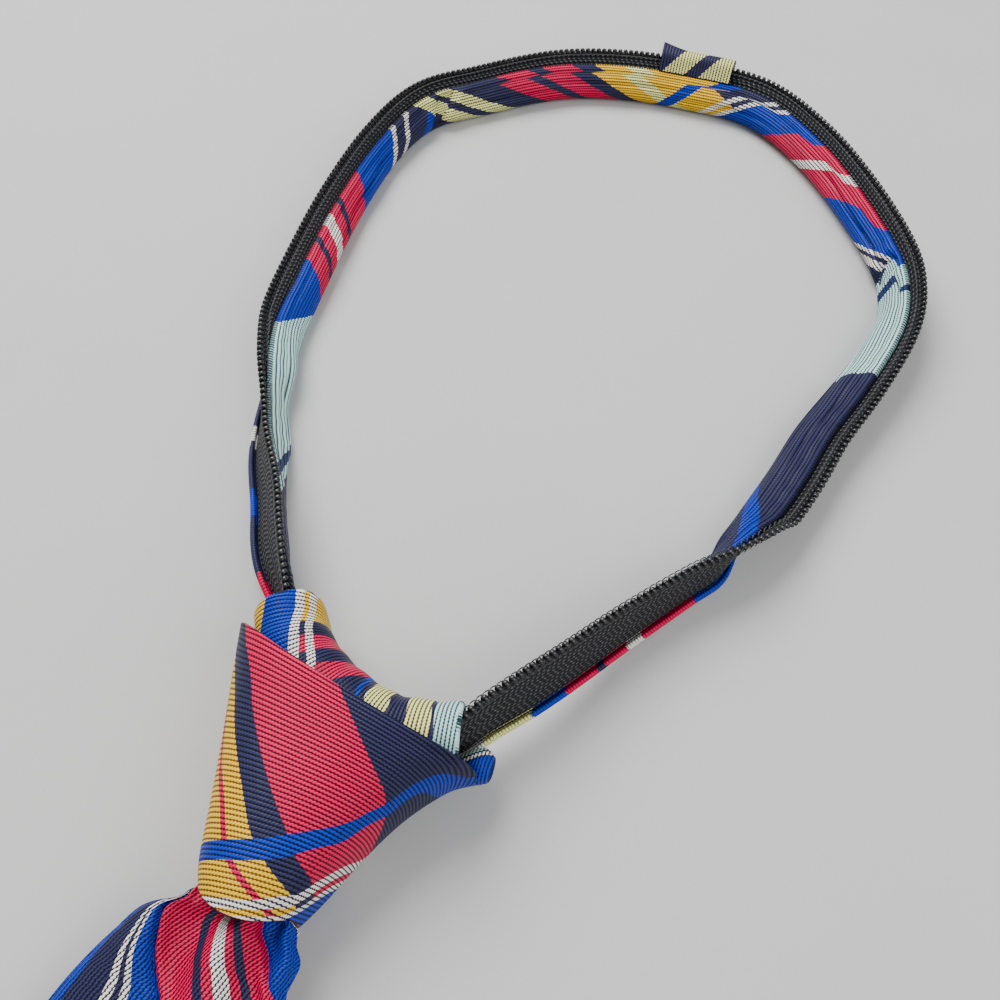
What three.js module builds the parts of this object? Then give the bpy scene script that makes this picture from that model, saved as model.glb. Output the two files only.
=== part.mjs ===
// Zipper tie lying open on a flat surface, in millimetres, +Z up.
// The knot's axis runs along Y: the blade points to -Y and the neck loop to +Y.

import * as THREE from 'three';

// Neck loop and its band
const LOOP_WIDTH = 126;
const LOOP_LENGTH = 178;
const TAPE_WIDTH = 9.2;
const TAPE_THICKNESS = 0.8;
const COIL_WIDTH = 1.7;
const COIL_THICKNESS = 2;
const CLOTH_WALL = 1;
const CASING_WIDTH = 8.6;
const CASING_LIP = 2.2;
const CASING_BELLY = 1.5;
const CLEARANCE = 0.3;
const CASING_CLEARANCE = 0.45;
const LEG_LIFT = 5;
const COIL_CORNER = 0.6;
const BAND_STEPS = 116;

// Keeper at the nape
const KEEPER_LENGTH = 18;
const KEEPER_SHARE = 0.475;
const KEEPER_PEAK = 1.2;
const KEEPER_PEAK_LENGTH = 6;
const KEEPER_RIDGE = 0.6;

// Knot
const KNOT_WIDTH = 48;
const KNOT_HEIGHT = 42;
const KNOT_THICKNESS = 24;
const KNOT_WALL = 1.6;
const KNOT_WIDEST_SHARE = 0.42;
const KNOT_UNDERSIDE_SHARE = 1.15;
const KNOT_SIDES = 30;
const KNOT_STEPS = 10;
const ROLL_WALL = 1.5;
const ROLL_DEPTH = 15.2;
const ROLL_THICKNESS = 18.4;
const ROLL_SIDES = 18;
const ROLL_STEPS = 14;
const CURL_LENGTH = 4.4;
const CURL_DIAMETER = 4.5;
const CURL_WALL = 1;
const CURL_NARROW_SHARE = 0.5;
const CURL_TUCKED_SHARE = 0.74;
const CURL_HEIGHT_SHARE = 0.25;
const CURL_SIDES = 14;
const CURL_STEPS = 3;
const SLIDER_LENGTH = 11;
const SLIDER_WIDTH = 6;
const SLIDER_HEIGHT = 5;

// Blade
const BLADE_LENGTH = 430;
const BLADE_WIDTH = 80;
const BLADE_THICKNESS = 3;
const BLADE_LIFT = 8;
const PLEAT_HEIGHT = 4;
const BLADE_COLUMNS = 18;
const BLADE_ROW_STEPS = 2;
const BLADE_EDGE_SHARE = 0.25;
const BLADE_NARROWEST = 0.01;
const BLADE_START = -0.8;
const BLADE_OFFSET = -0.035;

// Exponents of the rounded sections: one is an ellipse, less is squarer
const KNOT_ACROSS_ROUND = 0.85;
const KNOT_FRONT_ROUND = 0.8;
const KNOT_BACK_ROUND = 0.6;
const ROLL_ROUND = 0.9;

// Colours
const CLOTH_RED = 0xb02040;
const CLOTH_NAVY = 0x1d2040;
const CLOTH_BLUE = 0x1d47a8;
const CLOTH_GOLD = 0xd9a23c;
const ZIP_BLACK = 0x141416;
const COIL_BLACK = 0x202022;
const CLOTH_ROUGHNESS = 0.55;
const TAPE_ROUGHNESS = 0.85;
const COIL_ROUGHNESS = 0.4;

// Route of the band from inside the knot, up the left leg and clockwise round to the knot again.
// x and y are shares of the loop's width and length, lift is the height of the lowest edge as a share
// of the legs' lift, tilt is the angle of the tape from flat, outward, in degrees, and belly is a
// share of the casing's belly.
const BAND_ROUTE = [
  { x: -0.047, y: -0.018, lift: 0.84, tilt: 95, belly: 0 },
  { x: -0.083, y: 0.002, lift: 0.84, tilt: 95, belly: 0 },
  { x: -0.119, y: 0.033, lift: 0.84, tilt: 97, belly: 0 },
  { x: -0.16, y: 0.056, lift: 0.88, tilt: 108, belly: 0 },
  { x: -0.2, y: 0.082, lift: 0.96, tilt: 118, belly: 0.1 },
  { x: -0.23, y: 0.112, lift: 0.88, tilt: 121, belly: 0.2 },
  { x: -0.264, y: 0.157, lift: 0.6, tilt: 119, belly: 0.3 },
  { x: -0.315, y: 0.22, lift: 0.12, tilt: 112, belly: 1.6 },
  { x: -0.345, y: 0.28, lift: 0, tilt: 102, belly: 2.2 },
  { x: -0.358, y: 0.34, lift: 0, tilt: 82, belly: 2.2 },
  { x: -0.362, y: 0.41, lift: 0, tilt: 58, belly: 1 },
  { x: -0.374, y: 0.51, lift: 0, tilt: 54, belly: 1 },
  { x: -0.386, y: 0.62, lift: 0, tilt: 58, belly: 1 },
  { x: -0.384, y: 0.74, lift: 0, tilt: 64, belly: 1 },
  { x: -0.345, y: 0.835, lift: 0, tilt: 60, belly: 0.7 },
  { x: -0.26, y: 0.89, lift: 0, tilt: 56, belly: 0.8 },
  { x: -0.13, y: 0.96, lift: 0, tilt: 56, belly: 1 },
  { x: 0, y: 0.992, lift: 0, tilt: 56, belly: 1 },
  { x: 0.13, y: 1, lift: 0, tilt: 56, belly: 1 },
  { x: 0.27, y: 0.992, lift: 0, tilt: 56, belly: 1 },
  { x: 0.39, y: 0.93, lift: 0, tilt: 58, belly: 1 },
  { x: 0.49, y: 0.845, lift: 0, tilt: 58, belly: 1 },
  { x: 0.575, y: 0.75, lift: 0, tilt: 60, belly: 0.7 },
  { x: 0.6, y: 0.685, lift: 0, tilt: 58, belly: 0.6 },
  { x: 0.59, y: 0.62, lift: 0, tilt: 50, belly: 1 },
  { x: 0.545, y: 0.535, lift: 0, tilt: 38, belly: 1 },
  { x: 0.502, y: 0.458, lift: 0, tilt: 33, belly: 1 },
  { x: 0.475, y: 0.388, lift: 0, tilt: 31, belly: 1 },
  { x: 0.45, y: 0.328, lift: 0, tilt: 34, belly: 1 },
  { x: 0.444, y: 0.285, lift: 0, tilt: 60, belly: 1.5 },
  { x: 0.436, y: 0.245, lift: 0, tilt: 86, belly: 1 },
  { x: 0.4, y: 0.208, lift: 0, tilt: 95, belly: 0.5 },
  { x: 0.335, y: 0.138, lift: 0.24, tilt: 102, belly: 0.3 },
  { x: 0.285, y: 0.08, lift: 0.6, tilt: 105, belly: 0.2 },
  { x: 0.242, y: 0.034, lift: 0.88, tilt: 106, belly: 0.1 },
  { x: 0.202, y: 0.001, lift: 0.88, tilt: 102, belly: 0 },
  { x: 0.16, y: -0.034, lift: 0.84, tilt: 97, belly: 0 },
  { x: 0.105, y: -0.045, lift: 0.84, tilt: 95, belly: 0 },
  { x: 0.056, y: -0.043, lift: 0.84, tilt: 95, belly: 0 },
];

// Cross-sections of the knot from its mouth to its top edge. Left and right are the ends of each
// section's chord, in shares of the knot's width and height, and crown is how far its front leans
// down the blade. Thick is a share of the knot's thickness.
const KNOT_SECTIONS = [
  { leftX: -0.18, leftY: -0.915, rightX: 0.15, rightY: -0.93, thick: 0.72, crown: 0.08 },
  { leftX: -0.212, leftY: -0.83, rightX: 0.2, rightY: -0.82, thick: 0.8, crown: 0.06 },
  { leftX: -0.262, leftY: -0.61, rightX: 0.275, rightY: -0.62, thick: 0.9, crown: 0.04 },
  { leftX: -0.325, leftY: -0.37, rightX: 0.355, rightY: -0.45, thick: 0.96, crown: 0.04 },
  { leftX: -0.4, leftY: -0.11, rightX: 0.46, rightY: -0.3, thick: 1, crown: 0.05 },
  { leftX: -0.44, leftY: 0.03, rightX: 0.545, rightY: -0.235, thick: 1, crown: 0.06 },
];

// Middle line of the roll behind the knot's top edge, from left to right, in shares of the knot's
// width and height. Deep and thick are shares of the roll's depth and thickness.
const ROLL_ROUTE = [
  { x: -0.3, y: 0.15, deep: 0.8, thick: 1 },
  { x: -0.18, y: -0.03, deep: 0.87, thick: 1 },
  { x: 0, y: -0.145, deep: 0.86, thick: 1 },
  { x: 0.22, y: -0.185, deep: 0.76, thick: 1 },
  { x: 0.42, y: -0.13, deep: 0.74, thick: 0.96 },
];

// Blade from inside the knot's mouth to its tip: y is a share of the blade's length, width of its
// width, lift of the height at the mouth and pleat of the pleats' height.
const BLADE_SECTIONS = [
  { y: 0, width: 0.12, lift: 1, pleat: 0.6 },
  { y: 0.016, width: 0.13, lift: 1, pleat: 0.8 },
  { y: 0.028, width: 0.32, lift: 0.9, pleat: 1 },
  { y: 0.06, width: 0.5, lift: 0.6, pleat: 0.9 },
  { y: 0.1, width: 0.6, lift: 0.3, pleat: 0.75 },
  { y: 0.16, width: 0.67, lift: 0.06, pleat: 0.5 },
  { y: 0.22, width: 0.7, lift: 0, pleat: 0.3 },
  { y: 0.35, width: 0.77, lift: 0, pleat: 0.08 },
  { y: 0.5, width: 0.84, lift: 0, pleat: 0 },
  { y: 0.7, width: 0.92, lift: 0, pleat: 0 },
  { y: 0.8, width: 0.96, lift: 0, pleat: 0 },
  { y: 0.87, width: 0.985, lift: 0, pleat: 0 },
  { y: 0.905, width: 0.99, lift: 0, pleat: 0 },
  { y: 0.935, width: 0.68, lift: 0, pleat: 0 },
  { y: 1, width: 0.02, lift: 0, pleat: 0 },
];

// Lengthwise pleats of the blade: centre and half width across it, height as a share.
const PLEATS = [
  { centre: 0.17, half: 0.2, height: 0.45 },
  { centre: 0.62, half: 0.22, height: 1 },
  { centre: 0.94, half: 0.1, height: 0.4 },
];

// Fold of the casing round the tape's folded edge, from its stitched edge to its lip. A point's u
// is the sum of its shares of the casing's width, the lip's width and the cloth's wall. Its v is a
// share of the distance from the tape's middle to that face of the cloth, plus a share of the belly.
const CASING_OUTSIDE = [
  { width: 1, lip: 0, wall: 0, side: 1, belly: 0 },
  { width: 0.7, lip: 0, wall: 0, side: 1, belly: 0.75 },
  { width: 0.4, lip: 0, wall: 0, side: 1, belly: 1 },
  { width: 0.13, lip: 0, wall: 0, side: 0.8, belly: 0.75 },
  { width: 0, lip: 0, wall: 0, side: 0.14, belly: 0 },
  { width: 0, lip: 0.3, wall: 0, side: -0.8, belly: 0 },
  { width: 0, lip: 0.7, wall: 0, side: -1, belly: 0 },
  { width: 0, lip: 1, wall: 0, side: -1, belly: 0 },
];
const CASING_INSIDE = [
  { width: 0, lip: 1, wall: 0, side: -1, belly: 0 },
  { width: 0, lip: 0, wall: 1, side: -0.6, belly: 0 },
  { width: 0, lip: 0, wall: 1, side: 0.9, belly: 0 },
  { width: 0.4, lip: 0, wall: 0, side: 1, belly: 1 },
  { width: 0.7, lip: 0, wall: 0, side: 1, belly: 0.75 },
  { width: 1, lip: 0, wall: 0, side: 1, belly: 0 },
];

function volumeOf(positions, triangles) {
  let sum = 0;
  const a = new THREE.Vector3();
  const b = new THREE.Vector3();
  const c = new THREE.Vector3();
  for (let i = 0; i < triangles.length; i += 3) {
    a.fromArray(positions, triangles[i] * 3);
    b.fromArray(positions, triangles[i + 1] * 3);
    c.fromArray(positions, triangles[i + 2] * 3);
    sum += a.dot(b.cross(c));
  }
  return sum / 6;
}

function closedGeometry(positions, triangles) {
  if (volumeOf(positions, triangles) < 0) {
    triangles.reverse();
  }
  const geometry = new THREE.BufferGeometry();
  geometry.setAttribute('position', new THREE.Float32BufferAttribute(positions, 3));
  geometry.setIndex(triangles);
  geometry.computeVertexNormals();
  return geometry;
}

function joinRings(triangles, from, to, count) {
  for (let i = 0; i < count; i += 1) {
    const next = (i + 1) % count;
    triangles.push(from + i, from + next, to + next);
    triangles.push(from + i, to + next, to + i);
  }
}

// Closed body through rings of equal point count. The flat outline of the first and last ring
// gives the triangles of the two end faces.
function loft(rings, firstOutline, lastOutline) {
  const count = rings[0].length;
  const positions = [];
  const triangles = [];
  rings.forEach((ring) => ring.forEach((point) => positions.push(point.x, point.y, point.z)));
  for (let r = 0; r + 1 < rings.length; r += 1) {
    joinRings(triangles, r * count, (r + 1) * count, count);
  }
  const last = (rings.length - 1) * count;
  const turn = THREE.ShapeUtils.isClockWise(firstOutline) ? -1 : 1;
  THREE.ShapeUtils.triangulateShape(firstOutline, []).forEach(([a, b, c]) => {
    const face = turn > 0 ? [a, c, b] : [a, b, c];
    triangles.push(...face);
  });
  THREE.ShapeUtils.triangulateShape(lastOutline, []).forEach(([a, b, c]) => {
    const face = turn > 0 ? [a, b, c] : [a, c, b];
    triangles.push(...face.map((index) => index + last));
  });
  return closedGeometry(positions, triangles);
}

// Open tube with a wall: outer and inner rings, joined by a rim at each end.
function sleeve(outerRings, innerRings) {
  const count = outerRings[0].length;
  const positions = [];
  const triangles = [];
  const all = [...outerRings, ...innerRings.slice().reverse()];
  all.forEach((ring) => ring.forEach((point) => positions.push(point.x, point.y, point.z)));
  for (let r = 0; r < all.length; r += 1) {
    joinRings(triangles, r * count, ((r + 1) % all.length) * count, count);
  }
  return closedGeometry(positions, triangles);
}

// Smooth value between the rows of a table, for a share of the way from 0 to 1.
function tableReader(rows, names) {
  const curves = names.map(
    (name) => new THREE.SplineCurve(rows.map((row, index) => new THREE.Vector2(index, row[name]))),
  );
  return (share) => {
    const values = {};
    names.forEach((name, index) => {
      values[name] = curves[index].getPoint(share).y;
    });
    return values;
  };
}

const readBand = tableReader(BAND_ROUTE, ['x', 'y', 'lift', 'tilt', 'belly']);

// Cross-section of the casing: u runs from the folded edge to the teeth, v towards the covered side.
function casingSection(bellyShare) {
  const face = TAPE_THICKNESS / 2 + CASING_CLEARANCE;
  const belly = CASING_BELLY * bellyShare;
  const pointAt = (row, side) => new THREE.Vector2(
    row.width * CASING_WIDTH + row.lip * CASING_LIP + row.wall * CLOTH_WALL,
    row.side * side + row.belly * belly,
  );
  return [
    ...CASING_OUTSIDE.map((row) => pointAt(row, face + CLOTH_WALL)),
    ...CASING_INSIDE.map((row) => pointAt(row, face)),
  ];
}

const TAPE_START = CLOTH_WALL + CASING_CLEARANCE;
const TAPE_END = TAPE_START + TAPE_WIDTH;
const COIL_START = TAPE_END + CLEARANCE;
const COIL_END = COIL_START + COIL_WIDTH;

function rectangle(start, end, thickness) {
  return [
    new THREE.Vector2(start, thickness / 2),
    new THREE.Vector2(start, -thickness / 2),
    new THREE.Vector2(end, -thickness / 2),
    new THREE.Vector2(end, thickness / 2),
  ];
}

function coilSection() {
  const half = COIL_THICKNESS / 2;
  const corner = half * COIL_CORNER;
  return [
    new THREE.Vector2(COIL_START, half),
    new THREE.Vector2(COIL_START, -half),
    new THREE.Vector2(COIL_END - corner, -half),
    new THREE.Vector2(COIL_END, 0),
    new THREE.Vector2(COIL_END - corner, half),
  ];
}

// Where the band's folded edge is at a share of its route, and the directions of u and v there.
function bandStation(share) {
  const row = readBand(share);
  const step = 0.5 / BAND_STEPS;
  const before = readBand(Math.max(share - step, 0));
  const after = readBand(Math.min(share + step, 1));
  const along = new THREE.Vector3(
    (after.x - before.x) * LOOP_WIDTH,
    (after.y - before.y) * LOOP_LENGTH,
    0,
  ).normalize();
  const outward = new THREE.Vector3(-along.y, along.x, 0);
  const up = new THREE.Vector3(0, 0, 1);
  const tilt = THREE.MathUtils.degToRad(row.tilt);
  const u = outward.clone().multiplyScalar(Math.cos(tilt)).addScaledVector(up, Math.sin(tilt));
  const v = outward.clone().multiplyScalar(-Math.sin(tilt)).addScaledVector(up, Math.cos(tilt));
  const belly = Math.max(row.belly, 0);
  const lowest = Math.min(...casingSection(belly).map((point) => point.x * u.z + point.y * v.z));
  const lift = Math.max(row.lift, 0) * LEG_LIFT;
  const origin = new THREE.Vector3(row.x * LOOP_WIDTH, row.y * LOOP_LENGTH, lift - lowest);
  return { origin, u, v, belly };
}

function ringAt(station, outline) {
  return outline.map((point) => station.origin
    .clone()
    .addScaledVector(station.u, point.x)
    .addScaledVector(station.v, point.y));
}

function bandGeometry(outlineOf, from, to) {
  const steps = Math.max(2, Math.round(BAND_STEPS * (to - from)));
  const rings = [];
  let first = null;
  let last = null;
  for (let i = 0; i <= steps; i += 1) {
    const station = bandStation(from + ((to - from) * i) / steps);
    last = outlineOf(station, i / steps);
    first = first ?? last;
    rings.push(ringAt(station, last));
  }
  return loft(rings, first, last);
}

// Share of the route that is a given number of millimetres further along than another share.
function shareAfter(share, distance) {
  const step = 0.5 / BAND_STEPS;
  const here = bandStation(share).origin;
  const there = bandStation(share + step).origin;
  return share + (distance * step) / here.distanceTo(there);
}

// U-shaped wrap over the teeth, whose first end rises to a peak.
function keeperSection(station, share) {
  const inner = COIL_THICKNESS / 2 + CLEARANCE;
  const outer = inner + CLOTH_WALL;
  const peak = KEEPER_PEAK * Math.max(0, 1 - (share * KEEPER_LENGTH) / KEEPER_PEAK_LENGTH);
  const top = COIL_END + CLEARANCE;
  const start = CASING_WIDTH + CLEARANCE;
  return [
    new THREE.Vector2(start, outer),
    new THREE.Vector2(start, inner),
    new THREE.Vector2(top, inner),
    new THREE.Vector2(top, -inner),
    new THREE.Vector2(start, -inner),
    new THREE.Vector2(start, -outer),
    new THREE.Vector2(top, -outer),
    new THREE.Vector2(top + CLOTH_WALL + peak, -inner * KEEPER_RIDGE),
    new THREE.Vector2(top + CLOTH_WALL + peak, inner * KEEPER_RIDGE),
    new THREE.Vector2(top, outer),
  ];
}

const readKnot = tableReader(
  KNOT_SECTIONS,
  ['leftX', 'leftY', 'rightX', 'rightY', 'thick', 'crown'],
);

// One cross-section of the knot: round in front, flat where it lies on the surface. Inset draws
// the section inside the cloth's wall.
function knotRing(share, inset) {
  const row = readKnot(share);
  const left = new THREE.Vector3(row.leftX * KNOT_WIDTH, row.leftY * KNOT_HEIGHT, 0);
  const right = new THREE.Vector3(row.rightX * KNOT_WIDTH, row.rightY * KNOT_HEIGHT, 0);
  const middle = left.clone().add(right).multiplyScalar(0.5);
  const half = right.clone().sub(left).multiplyScalar(0.5);
  half.setLength(half.length() - inset);
  const thick = row.thick * KNOT_THICKNESS;
  const widest = thick * KNOT_WIDEST_SHARE;
  const ring = [];
  for (let i = 0; i < KNOT_SIDES; i += 1) {
    const angle = (2 * Math.PI * i) / KNOT_SIDES;
    const across = Math.sign(Math.cos(angle)) * Math.abs(Math.cos(angle)) ** KNOT_ACROSS_ROUND;
    const rise = Math.sin(angle);
    const point = middle.clone().addScaledVector(half, across);
    if (rise >= 0) {
      point.z = widest + (thick - inset - widest) * rise ** KNOT_FRONT_ROUND;
      point.y -= row.crown * KNOT_HEIGHT * rise ** 2;
    } else {
      const fall = KNOT_UNDERSIDE_SHARE * (-rise) ** KNOT_BACK_ROUND;
      point.z = Math.max(inset, widest - widest * fall);
    }
    ring.push(point);
  }
  return ring;
}

function knotFrontGeometry() {
  const outer = [];
  const inner = [];
  for (let i = 0; i <= KNOT_STEPS; i += 1) {
    outer.push(knotRing(i / KNOT_STEPS, 0));
    inner.push(knotRing(i / KNOT_STEPS, KNOT_WALL));
  }
  return sleeve(outer, inner);
}

const readRoll = tableReader(ROLL_ROUTE, ['x', 'y', 'deep', 'thick']);

function rollRing(share, inset) {
  const row = readRoll(share);
  const before = readRoll(Math.max(share - 0.01, 0));
  const after = readRoll(Math.min(share + 0.01, 1));
  const along = new THREE.Vector3(
    (after.x - before.x) * KNOT_WIDTH,
    (after.y - before.y) * KNOT_HEIGHT,
    0,
  ).normalize();
  const across = new THREE.Vector3(-along.y, along.x, 0);
  const deep = (ROLL_DEPTH * row.deep) / 2 - inset;
  const thick = (ROLL_THICKNESS * row.thick) / 2 - inset;
  const height = KNOT_WALL + CLEARANCE + ROLL_THICKNESS / 2;
  const ring = [];
  for (let i = 0; i < ROLL_SIDES; i += 1) {
    const angle = (2 * Math.PI * i) / ROLL_SIDES;
    const back = Math.sign(Math.cos(angle)) * Math.abs(Math.cos(angle)) ** ROLL_ROUND;
    const rise = Math.sign(Math.sin(angle)) * Math.abs(Math.sin(angle)) ** ROLL_ROUND;
    const point = new THREE.Vector3(row.x * KNOT_WIDTH, row.y * KNOT_HEIGHT, height);
    point.addScaledVector(across, deep * back);
    point.z += thick * rise;
    ring.push(point);
  }
  return ring;
}

function knotRollGeometry() {
  const outer = [];
  const inner = [];
  for (let i = 0; i <= ROLL_STEPS; i += 1) {
    outer.push(rollRing(i / ROLL_STEPS, 0));
    inner.push(rollRing(i / ROLL_STEPS, ROLL_WALL));
  }
  return sleeve(outer, inner);
}

function curlRing(centre, radius) {
  const ring = [];
  for (let i = 0; i < CURL_SIDES; i += 1) {
    const angle = (2 * Math.PI * i) / CURL_SIDES;
    const offset = new THREE.Vector3(0, radius * Math.cos(angle), radius * Math.sin(angle));
    ring.push(centre.clone().add(offset));
  }
  return ring;
}

// Short tube of rolled cloth that stands out past the knot's right top corner, wider outwards.
function cornerCurlGeometry() {
  const corner = KNOT_SECTIONS[KNOT_SECTIONS.length - 1];
  const start = new THREE.Vector3(
    corner.rightX * KNOT_WIDTH - CURL_LENGTH * CURL_TUCKED_SHARE,
    corner.rightY * KNOT_HEIGHT + CURL_DIAMETER / 2 + CLEARANCE,
    KNOT_THICKNESS * CURL_HEIGHT_SHARE,
  );
  const outer = [];
  const inner = [];
  for (let step = 0; step <= CURL_STEPS; step += 1) {
    const share = step / CURL_STEPS;
    const flare = CURL_NARROW_SHARE + (1 - CURL_NARROW_SHARE) * Math.sin((share * Math.PI) / 2);
    const radius = (CURL_DIAMETER / 2) * flare;
    const centre = start.clone();
    centre.x += CURL_LENGTH * share;
    outer.push(curlRing(centre, radius));
    inner.push(curlRing(centre, radius - CURL_WALL));
  }
  return sleeve(outer, inner);
}

// The slider lies in the roll, in line between the two ends of the band.
function sliderGeometry() {
  const from = bandStation(0).origin;
  const to = bandStation(1).origin;
  const geometry = new THREE.BoxGeometry(SLIDER_LENGTH, SLIDER_WIDTH, SLIDER_HEIGHT);
  geometry.rotateZ(Math.atan2(to.y - from.y, to.x - from.x));
  geometry.translate((from.x + to.x) / 2, (from.y + to.y) / 2, KNOT_THICKNESS / 2);
  return geometry;
}

const readBlade = tableReader(BLADE_SECTIONS, ['y', 'width', 'lift', 'pleat']);

function pleatAt(across) {
  return PLEATS.reduce((sum, pleat) => {
    const offset = Math.min(Math.abs(across - pleat.centre) / pleat.half, 1);
    return sum + pleat.height * Math.cos((offset * Math.PI) / 2) ** 2;
  }, 0);
}

function bladeRing(share) {
  const row = readBlade(share);
  const width = Math.max(row.width, BLADE_NARROWEST) * BLADE_WIDTH;
  const lift = Math.max(row.lift, 0) * BLADE_LIFT;
  const pleat = Math.max(row.pleat, 0) * PLEAT_HEIGHT;
  const y = BLADE_START * KNOT_HEIGHT - row.y * BLADE_LENGTH;
  const lower = [];
  const upper = [];
  for (let i = 0; i <= BLADE_COLUMNS; i += 1) {
    const across = i / BLADE_COLUMNS;
    const x = BLADE_OFFSET * KNOT_WIDTH + (across - 0.5) * width;
    const z = lift + pleat * pleatAt(across);
    const edge = i === 0 || i === BLADE_COLUMNS ? BLADE_THICKNESS * BLADE_EDGE_SHARE : 0;
    lower.push(new THREE.Vector3(x, y, z + edge));
    upper.push(new THREE.Vector3(x, y, z + BLADE_THICKNESS - edge));
  }
  return [...lower, ...upper.reverse()];
}

function bladeGeometry() {
  const rings = [];
  const steps = (BLADE_SECTIONS.length - 1) * BLADE_ROW_STEPS;
  for (let i = 0; i <= steps; i += 1) {
    rings.push(bladeRing(i / steps));
  }
  const flat = (ring) => ring.map((point) => new THREE.Vector2(point.x, point.z));
  return loft(rings, flat(rings[0]), flat(rings[rings.length - 1]));
}

const group = new THREE.Group();

function addPiece(name, geometry, color, roughness) {
  const material = new THREE.MeshStandardMaterial({ color, roughness, metalness: 0 });
  const mesh = new THREE.Mesh(geometry, material);
  mesh.name = name;
  group.add(mesh);
}

const NAPE_GAP = CLEARANCE / 2;
const napeLeft = shareAfter(KEEPER_SHARE, -NAPE_GAP);
const napeRight = shareAfter(KEEPER_SHARE, NAPE_GAP);
const keeperFrom = shareAfter(KEEPER_SHARE, -KEEPER_LENGTH / 2);
const keeperTo = shareAfter(KEEPER_SHARE, KEEPER_LENGTH / 2);
const tapeOutline = rectangle(TAPE_START, TAPE_END, TAPE_THICKNESS);

addPiece('knot_front', knotFrontGeometry(), CLOTH_RED, CLOTH_ROUGHNESS);
addPiece('knot_roll', knotRollGeometry(), CLOTH_BLUE, CLOTH_ROUGHNESS);
addPiece('knot_corner_curl', cornerCurlGeometry(), CLOTH_BLUE, CLOTH_ROUGHNESS);
addPiece(
  'neck_band_casing',
  bandGeometry((station) => casingSection(station.belly), 0, 1),
  CLOTH_RED,
  CLOTH_ROUGHNESS,
);
addPiece('left_zip_tape', bandGeometry(() => tapeOutline, 0, napeLeft), ZIP_BLACK, TAPE_ROUGHNESS);
addPiece('right_zip_tape', bandGeometry(() => tapeOutline, napeRight, 1), ZIP_BLACK, TAPE_ROUGHNESS);
addPiece('left_zip_coil', bandGeometry(() => coilSection(), 0, napeLeft), COIL_BLACK, COIL_ROUGHNESS);
addPiece('right_zip_coil', bandGeometry(() => coilSection(), napeRight, 1), COIL_BLACK, COIL_ROUGHNESS);
addPiece('nape_keeper', bandGeometry(keeperSection, keeperFrom, keeperTo), CLOTH_NAVY, CLOTH_ROUGHNESS);
addPiece('zip_slider', sliderGeometry(), COIL_BLACK, COIL_ROUGHNESS);
addPiece('blade_front', bladeGeometry(), CLOTH_GOLD, CLOTH_ROUGHNESS);

// The origin is at the middle of the box's underside.
const box = new THREE.Box3().setFromObject(group);
const centre = box.getCenter(new THREE.Vector3());
group.children.forEach((mesh) => mesh.position.set(-centre.x, -centre.y, -box.min.z));

export default group;
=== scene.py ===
"""Looks of a zipper tie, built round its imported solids: plaid cloth, zip, knot and blade."""

import math

import bmesh
import bpy
import numpy as np
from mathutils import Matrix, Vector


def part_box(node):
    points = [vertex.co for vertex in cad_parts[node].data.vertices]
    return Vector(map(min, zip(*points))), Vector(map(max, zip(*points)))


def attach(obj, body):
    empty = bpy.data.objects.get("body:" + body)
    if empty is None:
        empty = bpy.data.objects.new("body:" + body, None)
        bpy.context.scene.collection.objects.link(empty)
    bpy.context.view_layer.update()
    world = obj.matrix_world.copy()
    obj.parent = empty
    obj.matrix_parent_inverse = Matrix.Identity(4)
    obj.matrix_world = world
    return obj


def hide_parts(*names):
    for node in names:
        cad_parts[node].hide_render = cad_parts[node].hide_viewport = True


bl_info = {
    "name": "Zipper Tie Looks",
    "version": (1, 0, 0),
    "blender": (4, 5, 0),
    "location": "3D View > Sidebar > Zipper Tie",
    "description": "Cloth, zip, knot and blade of a zipper tie, built on its packed solids",
    "category": "Object",
}

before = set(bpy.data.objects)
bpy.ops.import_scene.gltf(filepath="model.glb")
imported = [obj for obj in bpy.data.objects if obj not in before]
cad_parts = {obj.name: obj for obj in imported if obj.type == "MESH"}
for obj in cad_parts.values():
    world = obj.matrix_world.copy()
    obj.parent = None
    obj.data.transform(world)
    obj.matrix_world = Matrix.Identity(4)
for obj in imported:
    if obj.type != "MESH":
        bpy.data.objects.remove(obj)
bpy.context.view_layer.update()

MM = 0.001
BODY = "root"

# Sizes of the solids, in millimetres
LOOP_WIDTH = 126
LOOP_LENGTH = 178
TAPE_WIDTH = 9.2
TAPE_THICKNESS = 0.8
COIL_WIDTH = 1.7
COIL_THICKNESS = 2
CLOTH_WALL = 1
CASING_WIDTH = 8.6
CASING_LIP = 2.2
CASING_BELLY = 1.5
CLEARANCE = 0.3
CASING_CLEARANCE = 0.45
LEG_LIFT = 5
KEEPER_LENGTH = 18
KEEPER_SHARE = 0.475
KEEPER_PEAK = 1.2
KEEPER_PEAK_LENGTH = 6
KNOT_WIDTH = 48
KNOT_HEIGHT = 42
KNOT_THICKNESS = 24
KNOT_WALL = 1.6
KNOT_WIDEST_SHARE = 0.42
KNOT_UNDERSIDE_SHARE = 1.15
KNOT_ACROSS_ROUND = 0.85
KNOT_FRONT_ROUND = 0.8
KNOT_BACK_ROUND = 0.6
ROLL_WALL = 1.5
ROLL_DEPTH = 15.2
ROLL_THICKNESS = 18.4
ROLL_ROUND = 0.9
CURL_LENGTH = 4.4
CURL_DIAMETER = 4.5
CURL_WALL = 1
CURL_NARROW_SHARE = 0.5
CURL_TUCKED_SHARE = 0.74
CURL_HEIGHT_SHARE = 0.25
BLADE_LENGTH = 430
BLADE_WIDTH = 80
BLADE_THICKNESS = 3
BLADE_LIFT = 8
PLEAT_HEIGHT = 4
BLADE_START = -0.8
BLADE_OFFSET = -0.035
BLADE_NARROWEST = 0.01

# Half a step between the stations of the solids' band, as a share of its route
HALF_STEP = 0.5 / 116

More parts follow.
